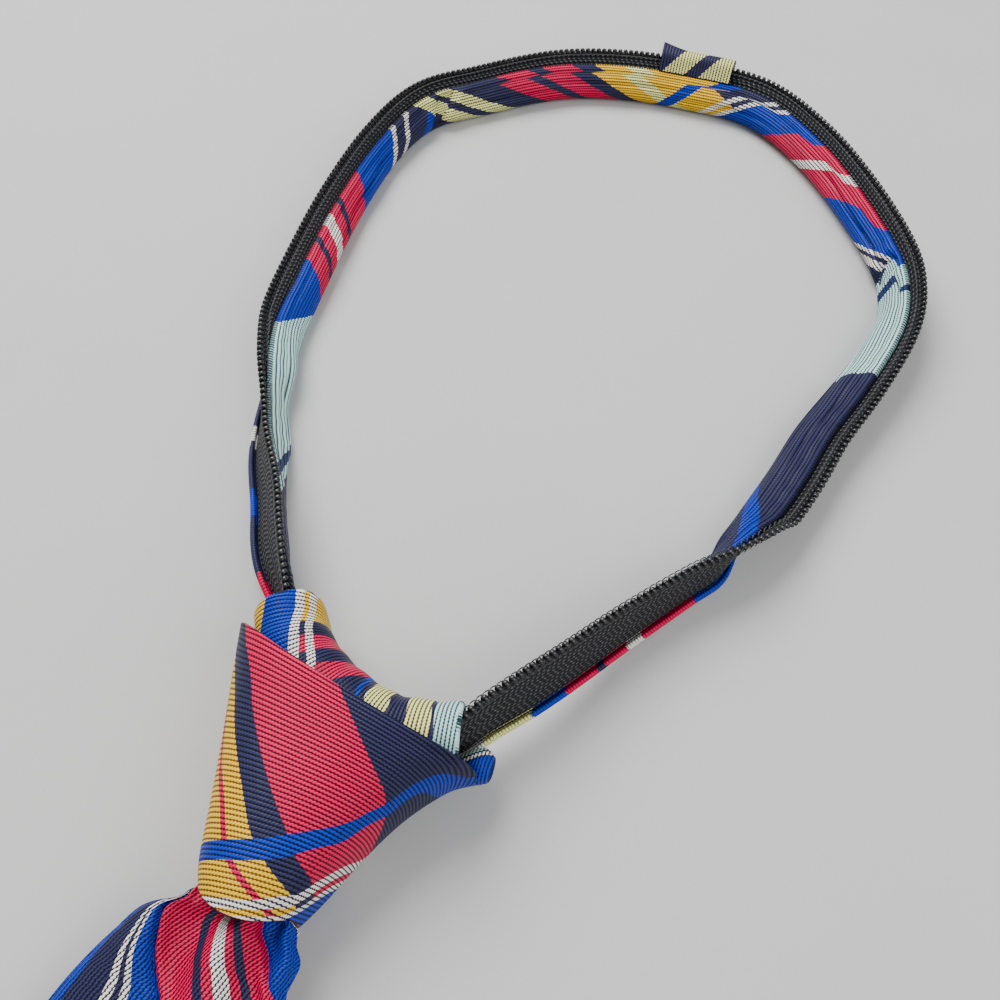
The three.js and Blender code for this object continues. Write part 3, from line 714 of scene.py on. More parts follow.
def casing_rings():
    """Rings of the casing round its section, with the layers for its cloth."""
    band = Band(share_at(np.linspace(0, ROUTE.arc[-1], CASING_ROWS)))
    arc = ROUTE.arc[-1] * np.linspace(0, 1, CASING_ROWS)[:, None]
    outer_rows = smooth_rows(CASING_OUTSIDE, np.linspace(0, 1, OUTSIDE_POINTS))
    inner_rows = smooth_rows(CASING_INSIDE, np.linspace(0, 1, INSIDE_POINTS))
    outer = casing_outline(outer_rows, CLOTH_WALL, band.belly)
    inner = casing_outline(inner_rows, 0, band.belly)
    relief = casing_relief(arc, outer[0], outer_rows[:, 3])
    seam = read(SEAM_REACH, arc)
    lip = read(LIP_REACH, arc)
    outer = (np.where(outer_rows[:, 3] > 0, outer[0] * seam, outer[0] * lip), outer[1])
    inner = (np.where(inner_rows[:, 3] > 0, inner[0] * seam, inner[0] * lip), inner[1])
    fullness = leg_fullness(arc)
    facing = np.sign(outer_rows[:, 3]) * np.minimum(np.abs(outer_rows[:, 3]) * 1.6, 1)
    outer_rise = outer[1] + relief * facing + fullness * outer_rows[:, 4]
    inner_press = (ease(6.8, 8.6, inner[0] / seam) * -0.3 * (inner_rows[:, 3] > 0.5)
                   + ease(0.9, 1.6, inner[0]) * 0.25 * (inner_rows[:, 3] < -0.55))
    inner_rise = inner[1] + inner_press + fullness * inner_rows[:, 4]
    outside = np.stack([outer[0], outer_rise], axis=-1)
    inside = np.stack([inner[0], inner_rise], axis=-1)
    push = np.broadcast_to(np.array([0.32, 0.0]), outside[:, 0].shape)
    lip_edge = edge_arc(outside[:, -1], inside[:, 0], push, EDGE_POINTS)
    hem_edge = edge_arc(inside[:, -1], outside[:, 0], push, EDGE_POINTS)
    section = np.concatenate([outside, lip_edge, inside, hem_edge], axis=1)
    points = band.ring(section[..., 0], section[..., 1])
    middle = section[len(section) // 2]
    around = lengths(np.concatenate([middle, middle[:1]]))
    fold = np.argmin(middle[:OUTSIDE_POINTS, 0])
    across = around[fold] - around
    lip_end = OUTSIDE_POINTS - 1
    first_inside = OUTSIDE_POINTS + EDGE_POINTS
    last_inside = first_inside + INSIDE_POINTS
    across[lip_end:first_inside] = across[lip_end]
    inside_lengths = lengths(middle[first_inside:last_inside])
    reach = across[0] - across[lip_end]
    across[first_inside:last_inside] = across[lip_end] + reach * inside_lengths / inside_lengths[-1]
    across[last_inside:] = across[0]
    arc_grid = np.broadcast_to(arc, (len(arc), len(across)))
    return points, arc_grid, np.broadcast_to(across, arc_grid.shape)


def band_stripes(arc, across):
    """Stripe coordinates at lengths along and across the neck band."""
    on_hem = across > across.max() - 2.0
    turned = on_hem * ease(178, 190, arc) * (1 - ease(322, 336, arc)) * 4.5
    steep = 1.1 * (across - 5) * (1 - ease(66, 80, arc)) * ease(-0.5, 1.5, across)
    first = arc + read(FIRST_LEAN, arc) * across + steep - turned
    second = arc - read(SECOND_LEAN, arc) * across - turned
    return np.stack([first, second], axis=-1)


def row_tree():
    """Geometry Nodes tree that sets one small shape at even steps along a line."""
    tree = bpy.data.node_groups.new("Sewn And Moulded Row", "GeometryNodeTree")
    sockets = (
        ("Line", "INPUT", "NodeSocketGeometry"), ("Shape", "INPUT", "NodeSocketObject"),
        ("Spacing", "INPUT", "NodeSocketFloat"), ("Size", "INPUT", "NodeSocketFloat"),
        ("Finish", "INPUT", "NodeSocketMaterial"), ("Row", "OUTPUT", "NodeSocketGeometry"),
    )
    for name, way, kind in sockets:
        tree.interface.new_socket(name=name, in_out=way, socket_type=kind)
    nodes = tree.nodes
    link = tree.links.new
    given = nodes.new("NodeGroupInput")
    made = nodes.new("NodeGroupOutput")
    curve = nodes.new("GeometryNodeMeshToCurve")
    spaced = nodes.new("GeometryNodeResampleCurve")
    spaced.mode = "LENGTH"
    shape = nodes.new("GeometryNodeObjectInfo")
    copies = nodes.new("GeometryNodeInstanceOnPoints")
    real = nodes.new("GeometryNodeRealizeInstances")
    finish = nodes.new("GeometryNodeSetMaterial")
    turn = None
    for attribute, axis, pivot in (("row_along", "Y", "AUTO"), ("row_across", "X", "Y")):
        named = nodes.new("GeometryNodeInputNamedAttribute")
        named.data_type = "FLOAT_VECTOR"
        named.inputs["Name"].default_value = attribute
        align = nodes.new("FunctionNodeAlignRotationToVector")
        align.axis = axis
        align.pivot_axis = pivot
        link(named.outputs["Attribute"], align.inputs["Vector"])
        if turn is not None:
            link(turn, align.inputs["Rotation"])
        turn = align.outputs["Rotation"]
    link(given.outputs["Line"], curve.inputs["Mesh"])
    link(curve.outputs["Curve"], spaced.inputs["Curve"])
    link(given.outputs["Spacing"], spaced.inputs["Length"])
    link(spaced.outputs["Curve"], copies.inputs["Points"])
    link(given.outputs["Shape"], shape.inputs["Object"])
    link(shape.outputs["Geometry"], copies.inputs["Instance"])
    link(turn, copies.inputs["Rotation"])
    link(given.outputs["Size"], copies.inputs["Scale"])
    link(copies.outputs["Instances"], real.inputs["Geometry"])
    link(real.outputs["Geometry"], finish.inputs["Geometry"])
    link(given.outputs["Finish"], finish.inputs["Material"])
    link(finish.outputs["Geometry"], made.inputs["Row"])
    return tree


def shape_row(name, tree, line, along, across, shape, spacing, size, material):
    """A plain mesh of one shape repeated along a line of points."""
    mesh = bpy.data.meshes.new(name)
    points = row_points(line)
    edges = [(i, i + 1) for i in range(len(points) - 1)]
    mesh.from_pydata(points.tolist(), edges, [])
    for attribute, vectors in (("row_along", along), ("row_across", across)):
        data = mesh.attributes.new(attribute, "FLOAT_VECTOR", "POINT").data
        data.foreach_set("vector", np.asarray(vectors, np.float32).ravel())
    work = bpy.data.objects.new(name, mesh)
    bpy.context.scene.collection.objects.link(work)
    modifier = work.modifiers.new("Row", "NODES")
    modifier.node_group = tree
    values = {"Shape": shape, "Spacing": spacing * MM, "Size": size, "Finish": material}
    for item in tree.interface.items_tree:
        if item.in_out == "INPUT" and item.name in values:
            modifier[item.identifier] = values[item.name]
    graph = bpy.context.evaluated_depsgraph_get()
    graph.update()
    made = bpy.data.meshes.new_from_object(work.evaluated_get(graph), depsgraph=graph)
    bpy.data.objects.remove(work)
    if len(made.polygons) == 0:
        raise RuntimeError(f"{name}: the row came out empty")
    made.name = name
    for attribute in ("row_along", "row_across"):
        found = made.attributes.get(attribute)
        if found is not None:
            made.attributes.remove(found)
    return outward(made)


# Steps between the stations along the teeth and the tapes, and how far each stops short of the
# band's end and of the nape, in millimetres
TEETH_STEP = 0.7
TAPE_STEP = 1.2
TEETH_END = 0.4
TAPE_END = 0.15
TAPE_NAPE = 0.01

# Cords woven into the tape beside the teeth: place across, half width and height
TAPE_CORDS = ((10.1, 0.3, 0.1), (10.9, 0.25, 0.12), (9.0, 0.3, 0.08))

# One moulded tooth from its upper leg, round its head, to its lower leg, in millimetres: out from
# the band's folded edge, along the row and up, then half its width and half its height
TOOTH_FOOT = 11
TOOTH = (
    (10.9, -0.28, 0.45, 0.36, 0.24), (11.3, -0.26, 0.66, 0.42, 0.27), (11.65, -0.16, 0.64, 0.46, 0.28),
    (11.88, -0.06, 0.48, 0.5, 0.28), (12.02, 0, 0.22, 0.51, 0.26), (12.04, 0.03, -0.02, 0.51, 0.26),
    (11.88, 0.1, -0.16, 0.5, 0.28), (11.65, 0.18, -0.14, 0.46, 0.28), (11.3, 0.28, 0, 0.42, 0.27),
    (10.9, 0.28, 0.1, 0.36, 0.24),
)

# One stitch over the teeth's legs, in the same columns
STITCH = (
    (-0.95, 0, -0.12, 0.12, 0.1), (-0.6, 0, 0.1, 0.17, 0.14), (0, 0, 0.17, 0.19, 0.15),
    (0.6, 0, 0.1, 0.17, 0.14), (0.95, 0, -0.12, 0.12, 0.1),
)
STITCH_SIZE = 0.72

# The rows of stitches on the two faces of the tape: up, out from the folded edge, and which face
STITCH_ROWS = ((1.16, 10.75, 1), (-0.52, 10.5, -1))


def tube_shape(name, table, foot, sides):
    """A small bent rod from a table of its sections, with its foot's place as its own origin."""
    table = np.array(table, float)
    path = table[:, :3] - [foot, 0, 0]
    lines = np.gradient(path, axis=0)
    lines /= np.linalg.norm(lines, axis=1)[:, None]
    aside = np.array([0.0, 1.0, 0.0])
    rings = []
    for centre, line, (wide, high) in zip(path, lines, table[:, 3:]):
        other = np.cross(line, aside)
        other /= np.linalg.norm(other)
        turn = (np.arange(sides) * 2 * np.pi / sides)[:, None]
        rings.append(centre + np.cos(turn) * aside * wide + np.sin(turn) * other * high)
    rings = np.array(rings) * MM
    count = len(rings)
    index = np.arange(count * sides).reshape(count, sides)
    faces = [
        (index[r, c], index[r, (c + 1) % sides], index[r + 1, (c + 1) % sides], index[r + 1, c])
        for r in range(count - 1) for c in range(sides)
    ]
    faces = [[int(i) for i in face] for face in faces]
    faces += [index[0].tolist(), index[-1].tolist()]
    mesh = bpy.data.meshes.new(name)
    mesh.from_pydata(rings.reshape(-1, 3).tolist(), [], faces)
    shape = bpy.data.objects.new(name, outward(mesh))
    bpy.context.scene.collection.objects.link(shape)
    return shape


def settings():
    """The tie's settings in this scene."""
    return bpy.context.scene.zipper_tie


class TieSettings(bpy.types.PropertyGroup):
    """Sizes and colours of the tie that a user would change."""

    rib: bpy.props.FloatProperty(
        name="Rib spacing", description="Distance between the knot's ribs, in millimetres",
        default=0.68, min=0.3, max=2.0)
    band_rib: bpy.props.FloatProperty(
        name="Band rib spacing", description="Distance between the neck band's ribs, in millimetres",
        default=0.72, min=0.3, max=2.0)
    tooth_pitch: bpy.props.FloatProperty(
        name="Tooth pitch", description="Distance between the zip's teeth, in millimetres", default=1.4,
        min=0.8, max=3.0)
    floor_colour: bpy.props.FloatVectorProperty(
        name="Floor", description="Colour of the floor", subtype="COLOR", size=3,
        default=(0.49, 0.49, 0.485), min=0.0, max=1.0)
    light: bpy.props.FloatProperty(
        name="Main light", description="Power of the main soft light", default=16.5, min=0.0,
        unit="POWER")


class TIE_OT_stage(bpy.types.Operator):
    """Camera, floor and soft lights"""

    bl_idname = "zipper_tie.stage"
    bl_label = "Stage"

    def execute(self, context):
        scene = context.scene
        camera = bpy.data.cameras.new("Camera")
        camera.sensor_width = 36
        camera.lens = 36
        camera.clip_start = 0.01
        viewer = bpy.data.objects.new("Camera", camera)
        sine = math.sin(VIEW_AZIMUTH)
        cosine = math.cos(VIEW_AZIMUTH)
        viewer.location = row_points((
            VIEW_RIGHT * cosine + VIEW_SHORT * sine, VIEW_RIGHT * sine - VIEW_SHORT * cosine, VIEW_HEIGHT))
        viewer.rotation_euler = (math.pi / 2 - VIEW_PITCH, 0, VIEW_AZIMUTH)
        scene.collection.objects.link(viewer)
        scene.camera = viewer
        self.floor(context)
        self.lights(context)
        return {"FINISHED"}

    def floor(self, context):
        """The plain pale floor under the tie."""
        mesh = bpy.data.meshes.new("floor")
        signs = ((-1, -1), (1, -1), (1, 1), (-1, 1))
        corners = [(x * FLOOR_HALF, y * FLOOR_HALF, -FLOOR_DROP) for x, y in signs]
        mesh.from_pydata(corners, [], [(0, 1, 2, 3)])
        floor = bpy.data.objects.new("floor", mesh)
        context.scene.collection.objects.link(floor)
        maker = NodeMaker("floor")
        cloud = maker.noise(maker.object_place(), 30.0, 4.0)
        pale = [*settings().floor_colour, 1.0]
        dim = [part * 0.93 for part in pale[:3]] + [1.0]
        mesh.materials.append(maker.finish({
            "Base Color": maker.mix(cloud, dim, pale),
            "Roughness": 0.75 + cloud * 0.1,
            "Specular IOR Level": 0.2,
        }))

    def lights(self, context):
        """Two soft lamps and an even pale sky."""
        spots = (
            ("main_light", (-0.45, 0.55, 0.75), 0.7, settings().light),
            ("side_light", (0.6, -0.1, 0.6), 0.8, settings().light * 0.4),
        )
        for name, spot, size, power in spots:
            lamp = bpy.data.lights.new(name, "AREA")
            lamp.shape = "DISK"
            lamp.size = size
            lamp.energy = power
            light = bpy.data.objects.new(name, lamp)
            light.location = spot
            aim = -np.array(spot)
            tilt = math.atan2(math.hypot(aim[0], aim[1]), -aim[2])
            light.rotation_euler = (tilt, 0, math.atan2(aim[1], aim[0]) - math.pi / 2)
            context.scene.collection.objects.link(light)
        world = bpy.data.worlds.new("studio")
        world.use_nodes = True
        sky = world.node_tree.nodes["Background"]
        sky.inputs["Color"].default_value = (0.96, 0.98, 1.0, 1.0)
        sky.inputs["Strength"].default_value = 0.46
        context.scene.world = world


class TIE_OT_neck_band(bpy.types.Operator):
    """Cloth casing of the neck band"""

    bl_idname = "zipper_tie.neck_band"
    bl_label = "Neck band"

    def execute(self, context):
        points, arc, across = casing_rings()
        layers = {
            "ribs": np.stack([arc, across], axis=-1),
            "stripes": band_stripes(arc, across),
        }
        mesh = skin("neck_band_casing", points, layers)
        cloth = cloth_finish("band_cloth", BAND_BASE, BAND_CROSSING, settings().band_rib)
        lip = cloth_finish("band_lip_cloth", LIP_BASE, LIP_CROSSING, settings().band_rib)
        on_lip = across[0, :-1] < -LIP_START
        zones = np.concatenate([np.tile(on_lip, len(points) - 1), [0, 0]]).astype(np.int32)
        piece = place("neck_band_cloth", mesh, (cloth, lip), "tie_cloth", ("neck_band_casing",))
        if len(zones) != len(mesh.polygons):
            raise RuntimeError(f"the casing has {len(mesh.polygons)} faces, and not {len(zones)}")
        mesh.polygons.foreach_set("material_index", zones)
        return {"FINISHED"}


class TIE_OT_zip(bpy.types.Operator):
    """Woven tapes, moulded teeth, their stitches and the slider"""

    bl_idname = "zipper_tie.zip"
    bl_label = "Zip"

    def execute(self, context):
        tree = row_tree()
        weave = tape_finish("tape_weave")
        nylon = plastic_finish("tooth_nylon", (6, 6, 8), (24, 24, 28))
        thread = thread_finish("black_thread", (10, 10, 12), (40, 40, 44))
        tooth = tube_shape("tooth", TOOTH, TOOTH_FOOT, 7)
        stitch = tube_shape("stitch", STITCH, 0, 6)
        total = ROUTE.arc[-1]
        pitch = settings().tooth_pitch
        gap = pitch / 2
        nape = arc_at(KEEPER_SHARE)
        runs = (
            ("left", TAPE_END, nape - TAPE_NAPE, TEETH_END, nape - gap),
            ("right", nape + TAPE_NAPE, total - TAPE_END, nape + gap, total - TEETH_END),
        )
        for side, tape_begin, tape_end, begin, end in runs:
            self.tape(side, tape_begin, tape_end, weave)
            arc = np.linspace(begin, end, int((end - begin) / TEETH_STEP))
            band = Band(share_at(arc))
            line = band.origin + band.u * TOOTH_FOOT
            mesh = shape_row(f"{side}_zip_teeth", tree, line, band.along, band.u, tooth, pitch, 1.0, nylon)
            place(f"{side}_zip_teeth", mesh, (), "zip_coil", (f"{side}_zip_coil",))
            self.stitches(side, tree, band, stitch, thread)
        for shape in (tooth, stitch):
            bpy.data.objects.remove(shape)
        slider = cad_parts["zip_slider"]
        slider.data.materials.clear()
        slider.data.materials.append(enamel_finish("slider_enamel"))
        return {"FINISHED"}

    def tape(self, side, begin, end, weave):
        """One woven tape, with the cords beside its teeth."""
        arc = np.linspace(begin, end, int((end - begin) / TAPE_STEP))
        band = Band(share_at(arc))
        start = CLOTH_WALL + CASING_CLEARANCE
        end_edge = start + TAPE_WIDTH + 0.85
        across = np.linspace(start - 0.2, end_edge, 44)
        half = TAPE_THICKNESS / 2
        cord = sum(high * hump(across, centre, half_width) for centre, half_width, high in TAPE_CORDS)
        under = half - 0.03 - 0.42 * ease(9.2, 9.8, across)
        edge = np.array([(end_edge + 0.1, -0.22)])
        back_edge = np.array([(start - 0.3, 0.0)])
        section = np.concatenate([
            np.stack([across, under], axis=1), edge,
            np.stack([across, -half - cord + 0.04], axis=1)[::-1], back_edge,
        ])
        grid = np.broadcast_to(section, (len(arc),) + section.shape)
        points = band.ring(grid[..., 0], grid[..., 1])
        around = lengths(np.concatenate([section, section[:1]]))
        layer = np.stack(np.broadcast_arrays(arc[:, None], around[None, :]), axis=-1)
        mesh = skin(f"{side}_zip_tape", points, {"ribs": layer})
        place(f"{side}_zip_tape_woven", mesh, (weave,), "zip_tape", (f"{side}_zip_tape",))

    def stitches(self, side, tree, band, stitch, thread):
        """Rows of stitches over the teeth's legs, on both faces of the tape."""
        meshes = []
        pitch = settings().tooth_pitch
        for up, reach, face in STITCH_ROWS:
            line = band.origin + band.u * reach + band.v * up
            aside = np.cross(band.v * face, band.along)
            meshes.append(shape_row(f"{side}_coil_stitches", tree, line, aside, band.along, stitch,
                                    pitch, STITCH_SIZE, thread))
        work = bmesh.new()
        for mesh in meshes:
            work.from_mesh(mesh)
        joined = bpy.data.meshes.new(f"{side}_coil_stitches")
        work.to_mesh(joined)
        work.free()
        joined.materials.append(thread)
        place(f"{side}_coil_stitches", joined, (), "zip_tape")


class TIE_OT_keeper(bpy.types.Operator):
    """Small wrap of cloth over the zip at the nape"""

    bl_idname = "zipper_tie.keeper"
    bl_label = "Nape keeper"

    def execute(self, context):
        middle = arc_at(KEEPER_SHARE)
        arc = np.linspace(middle - KEEPER_LENGTH / 2, middle + KEEPER_LENGTH / 2, 56)
        band = Band(share_at(arc))
        share = np.linspace(0, 1, len(arc))
        peak = KEEPER_PEAK * np.maximum(0, 1 - share * KEEPER_LENGTH / KEEPER_PEAK_LENGTH) ** 1.4
        inner = COIL_THICKNESS / 2 + CLEARANCE
        outer = inner + CLOTH_WALL * 0.8
        top = CLOTH_WALL + CASING_CLEARANCE + TAPE_WIDTH + CLEARANCE + COIL_WIDTH + CLEARANCE
        start = CASING_WIDTH + CLEARANCE
        outside = smooth_rows((
            (start - 0.6, outer - 0.1), (start + 1.4, outer), (top - 0.8, outer),
            (top + 0.55, inner * 0.95), (top + CLOTH_WALL, 0), (top + 0.55, -inner * 0.95),
            (top - 0.8, -outer), (start + 1.6, -outer), (start, -outer + 0.1),
        ), np.linspace(0, 1, 41))
        inside = smooth_rows((
            (start, -inner), (top - 0.3, -inner), (top, -inner * 0.6), (top, inner * 0.6),
            (top - 0.3, inner), (start - 0.5, inner + 0.4),
        ), np.linspace(0, 1, 15))
        rise = hump(outside[:, 1], 0, 1.1) * ease(top - 1, top, outside[:, 0])
        swell = 0.12 * np.sin(share[:, None] * 9) * hump(outside[:, 0], 11, 2)
        outside_grid = np.stack([
            outside[:, 0] + peak[:, None] * rise,
            outside[:, 1] * (1 + 0.03 * np.sin(share[:, None] * 7)) + np.sign(outside[:, 1]) * swell,
        ], axis=-1)
        inside_grid = np.broadcast_to(inside, (len(arc),) + inside.shape)
        push = np.broadcast_to(np.array([-0.25, 0.0]), outside_grid[:, 0].shape)
        front = edge_arc(outside_grid[:, -1], inside_grid[:, 0], push, 2)
        back = edge_arc(inside_grid[:, -1], outside_grid[:, 0], push, 2)
        section = np.concatenate([outside_grid, front, inside_grid, back], axis=1)
        points = band.ring(section[..., 0], section[..., 1])
        middle_section = section[len(section) // 2]
        around = lengths(np.concatenate([middle_section, middle_section[:1]]))
        along = (arc - arc[0])[:, None]
        ribs = np.stack(np.broadcast_arrays(around[None, :], along), axis=-1)
        lean = along - 0.8 * (around[None, :] - 3.2) + 6
        stripes = np.stack([lean, lean * 0], axis=-1)
        mesh = skin("nape_keeper", points, {"ribs": ribs, "stripes": stripes})
        chart = (("navy", 9.5), ("cream", 15), ("navy", 18.6), ("cream", 40))
        cloth = cloth_finish("keeper_cloth", chart, (("none", 40),), settings().band_rib, (1.0, 0.0))
        piece = place("nape_keeper_cloth", mesh, (cloth,), "tie_cloth", ("nape_keeper",))
        return {"FINISHED"}


def knot_ring(shares, insets, turns):
    """Rings of the knot's sleeve at shares from mouth to top edge, drawn in by the insets."""
    row = smooth_rows(KNOT_SECTIONS, shares)
    left = row[:, :2] * [KNOT_WIDTH, KNOT_HEIGHT]
    right = row[:, 2:4] * [KNOT_WIDTH, KNOT_HEIGHT]
    middle = (left + right) / 2
    half = (right - left) / 2
    size = np.linalg.norm(half, axis=1)[:, None]
    half = half * (size - insets[:, None]) / size
    thick = row[:, 4:5] * KNOT_THICKNESS
    widest = thick * KNOT_WIDEST_SHARE
    across = np.sign(np.cos(turns)) * np.abs(np.cos(turns)) ** KNOT_ACROSS_ROUND
    rise = np.sin(turns)
    inset = insets[:, None]
    top = widest + (thick - inset - widest) * np.maximum(rise, 0) ** KNOT_FRONT_ROUND
    fall = KNOT_UNDERSIDE_SHARE * np.maximum(-rise, 0) ** KNOT_BACK_ROUND
    under = np.maximum(inset, widest - widest * fall)
    height = np.where(rise >= 0, top, under)
    flat = middle[:, None] + half[:, None] * across[None, :, None]
    lean = row[:, 5:6] * KNOT_HEIGHT * np.maximum(rise, 0) ** 2
    return np.stack([flat[..., 0], flat[..., 1] - lean, height], axis=-1)


# Where the knot's stripe edges lie: x and y in millimetres from the tie's origin, and the
# millimetre across the stripes
KNOT_BASE_EDGES = (
    (-13.5, -13, 30), (-8, -22, 30), (-1.5, -31, 30), (1.5, -33.5, 30), (6, -36, 30), (8.5, -37.5, 30),
    (-16, -4, 35.5), (-10, -13, 35.5), (-4, -21, 35.5), (3.5, -29, 35.5), (6, -32, 35.5), (9.5, -34, 35.5),
    (3, -8, 52), (6, -11, 52), (10.5, -15.5, 52), (15.5, -20, 52), (-8, -28, 25), (-3, -35, 25.5),
    (23, -12, 62),
)
KNOT_CROSSING_EDGES = (
    (-7.5, -33.5, 40), (-2, -32, 40), (3.5, -29.5, 40), (10, -25.5, 40), (16.5, -19.5, 40), (21, -14, 40),
    (-7, -36, 42.6), (-1, -34.5, 42.6), (5, -32, 42.6), (11.5, -27, 42.6), (17.5, -20.5, 42.2),
    (22.5, -14.5, 42), (-5, -40.5, 48), (0.5, -39.5, 48), (5.5, -37, 48), (9.5, -33.5, 47.9),
    (13, -29, 46.5), (16.5, -24.5, 45.5), (21, -18.5, 44.5), (-2.5, -41.5, 49.4), (2.5, -40.3, 49.4),
    (7, -38, 49.4), (9.8, -35.5, 49.2), (2, -42, 51.6), (8, -39, 51.6), (0, -8, 12), (-14, -12, 16),
    (14.5, -29.5, 47.6), (18, -26, 46.2), (22, -22, 45), (26, -18, 44.3),
)
KNOT_BASE = (
    ("gold", 24.5), ("red", 25.6), ("gold", 30), ("navy", 35.5), ("red", 52), ("navy", 66), ("navy", 71),
    ("navy", 100),
)
KNOT_CROSSING = (
    ("none", 40), ("blue", 42.6), ("none", 48), ("white", 49.3), ("none", 50.3), ("white", 51.5),
    ("blue", 60), ("red", 90),
)

# The rim and the inside of the sleeve take the navy stripe of the first chart and none of the second
KNOT_INSIDE_STRIPES = (60, 20)

# How far round from the crown the stripes are charted from above, in degrees. Past that they
# follow the cloth round.
KNOT_FRONT_TURN = 52

# Where the gathers at the knot's right corner meet
KNOT_CORNER = (26.0, -10.5)

# Where the stripe edges lie on the roll behind the knot
ROLL_EDGES = (
    (-15, 6, 15), (-11.1, 4.5, 20), (-9.9, -0.1, 20), (-9.1, -2.5, 20), (-11, 7.5, 22), (-9.1, 1.6, 22),
    (-7.2, -3.1, 22), (-9.4, 5.8, 22.8), (-8, 1.5, 22.8), (-5.4, -3.2, 22.8), (-8.7, 6.7, 24.2),
    (-7.3, 2.9, 24.2), (-3.2, -3.7, 24.4), (4.9, -1.6, 35), (5.4, -5.9, 36.4), (9.8, -6.2, 40),
    (13.2, -7.3, 42.6), (17.1, -4.9, 46), (17.9, -7.7, 46), (18.1, -5.8, 46.8), (18.7, -8.4, 46.8),
    (20, -4.5, 49),
)
ROLL_BASE = (
    ("gold+", 12.5), ("blue+", 20), ("white+", 22), ("navy", 22.8), ("white+", 24.2), ("navy", 34.4),
    ("blue+", 35.4), ("navy+", 36.8), ("cream+", 40), ("navy+", 42.6), ("cream+", 45.7),
    ("navy+", 46.1), ("mint+", 62),
)
ROLL_CROSSING = (("gold", 6.5), ("none", 9), ("red", 12), ("none", 14.6), ("red", 18.2), ("none", 60))


def fitted_bend(edges, x, y):
    """A smooth bent coordinate that has the charted value at each charted point."""
    chart = np.array(edges, float)
    count = len(chart)

    def bend(distance):
        return distance ** 2 * np.log(distance + 1e-6)

    apart = np.hypot(chart[:, None, 0] - chart[:, 0], chart[:, None, 1] - chart[:, 1])
    flat = np.stack([np.ones(count), chart[:, 0], chart[:, 1]], axis=1)
    system = np.zeros((count + 3, count + 3))
    system[:count, :count] = bend(apart) + np.eye(count) * 4
    system[:count, count:] = flat
    system[count:, :count] = flat.T
    weights = np.linalg.solve(system, np.concatenate([chart[:, 2], np.zeros(3)]))
    result = weights[count] + weights[count + 1] * x + weights[count + 2] * y
    for weight, row in zip(weights[:count], chart):
        result = result + weight * bend(np.hypot(x - row[0], y - row[1]))
    return result


def wall_rows(near, far, out_count, in_count, edge_count, wall):
    """Shares and insets of a hollow wall: outside, round its far edge, inside, round its near."""
    edge = np.linspace(0, np.pi, edge_count + 2)[1:-1]
    out = np.linspace(near, far, out_count)
    back = np.linspace(far, near, in_count)
    bulge = np.sin(edge)
    shares = np.concatenate([out, far + (1 - far) * bulge, back, near - near * bulge])
    insets = np.concatenate([
        out * 0, wall * (1 - np.cos(edge)) / 2, back * 0 + wall, wall * (1 + np.cos(edge)) / 2])
    return shares, insets


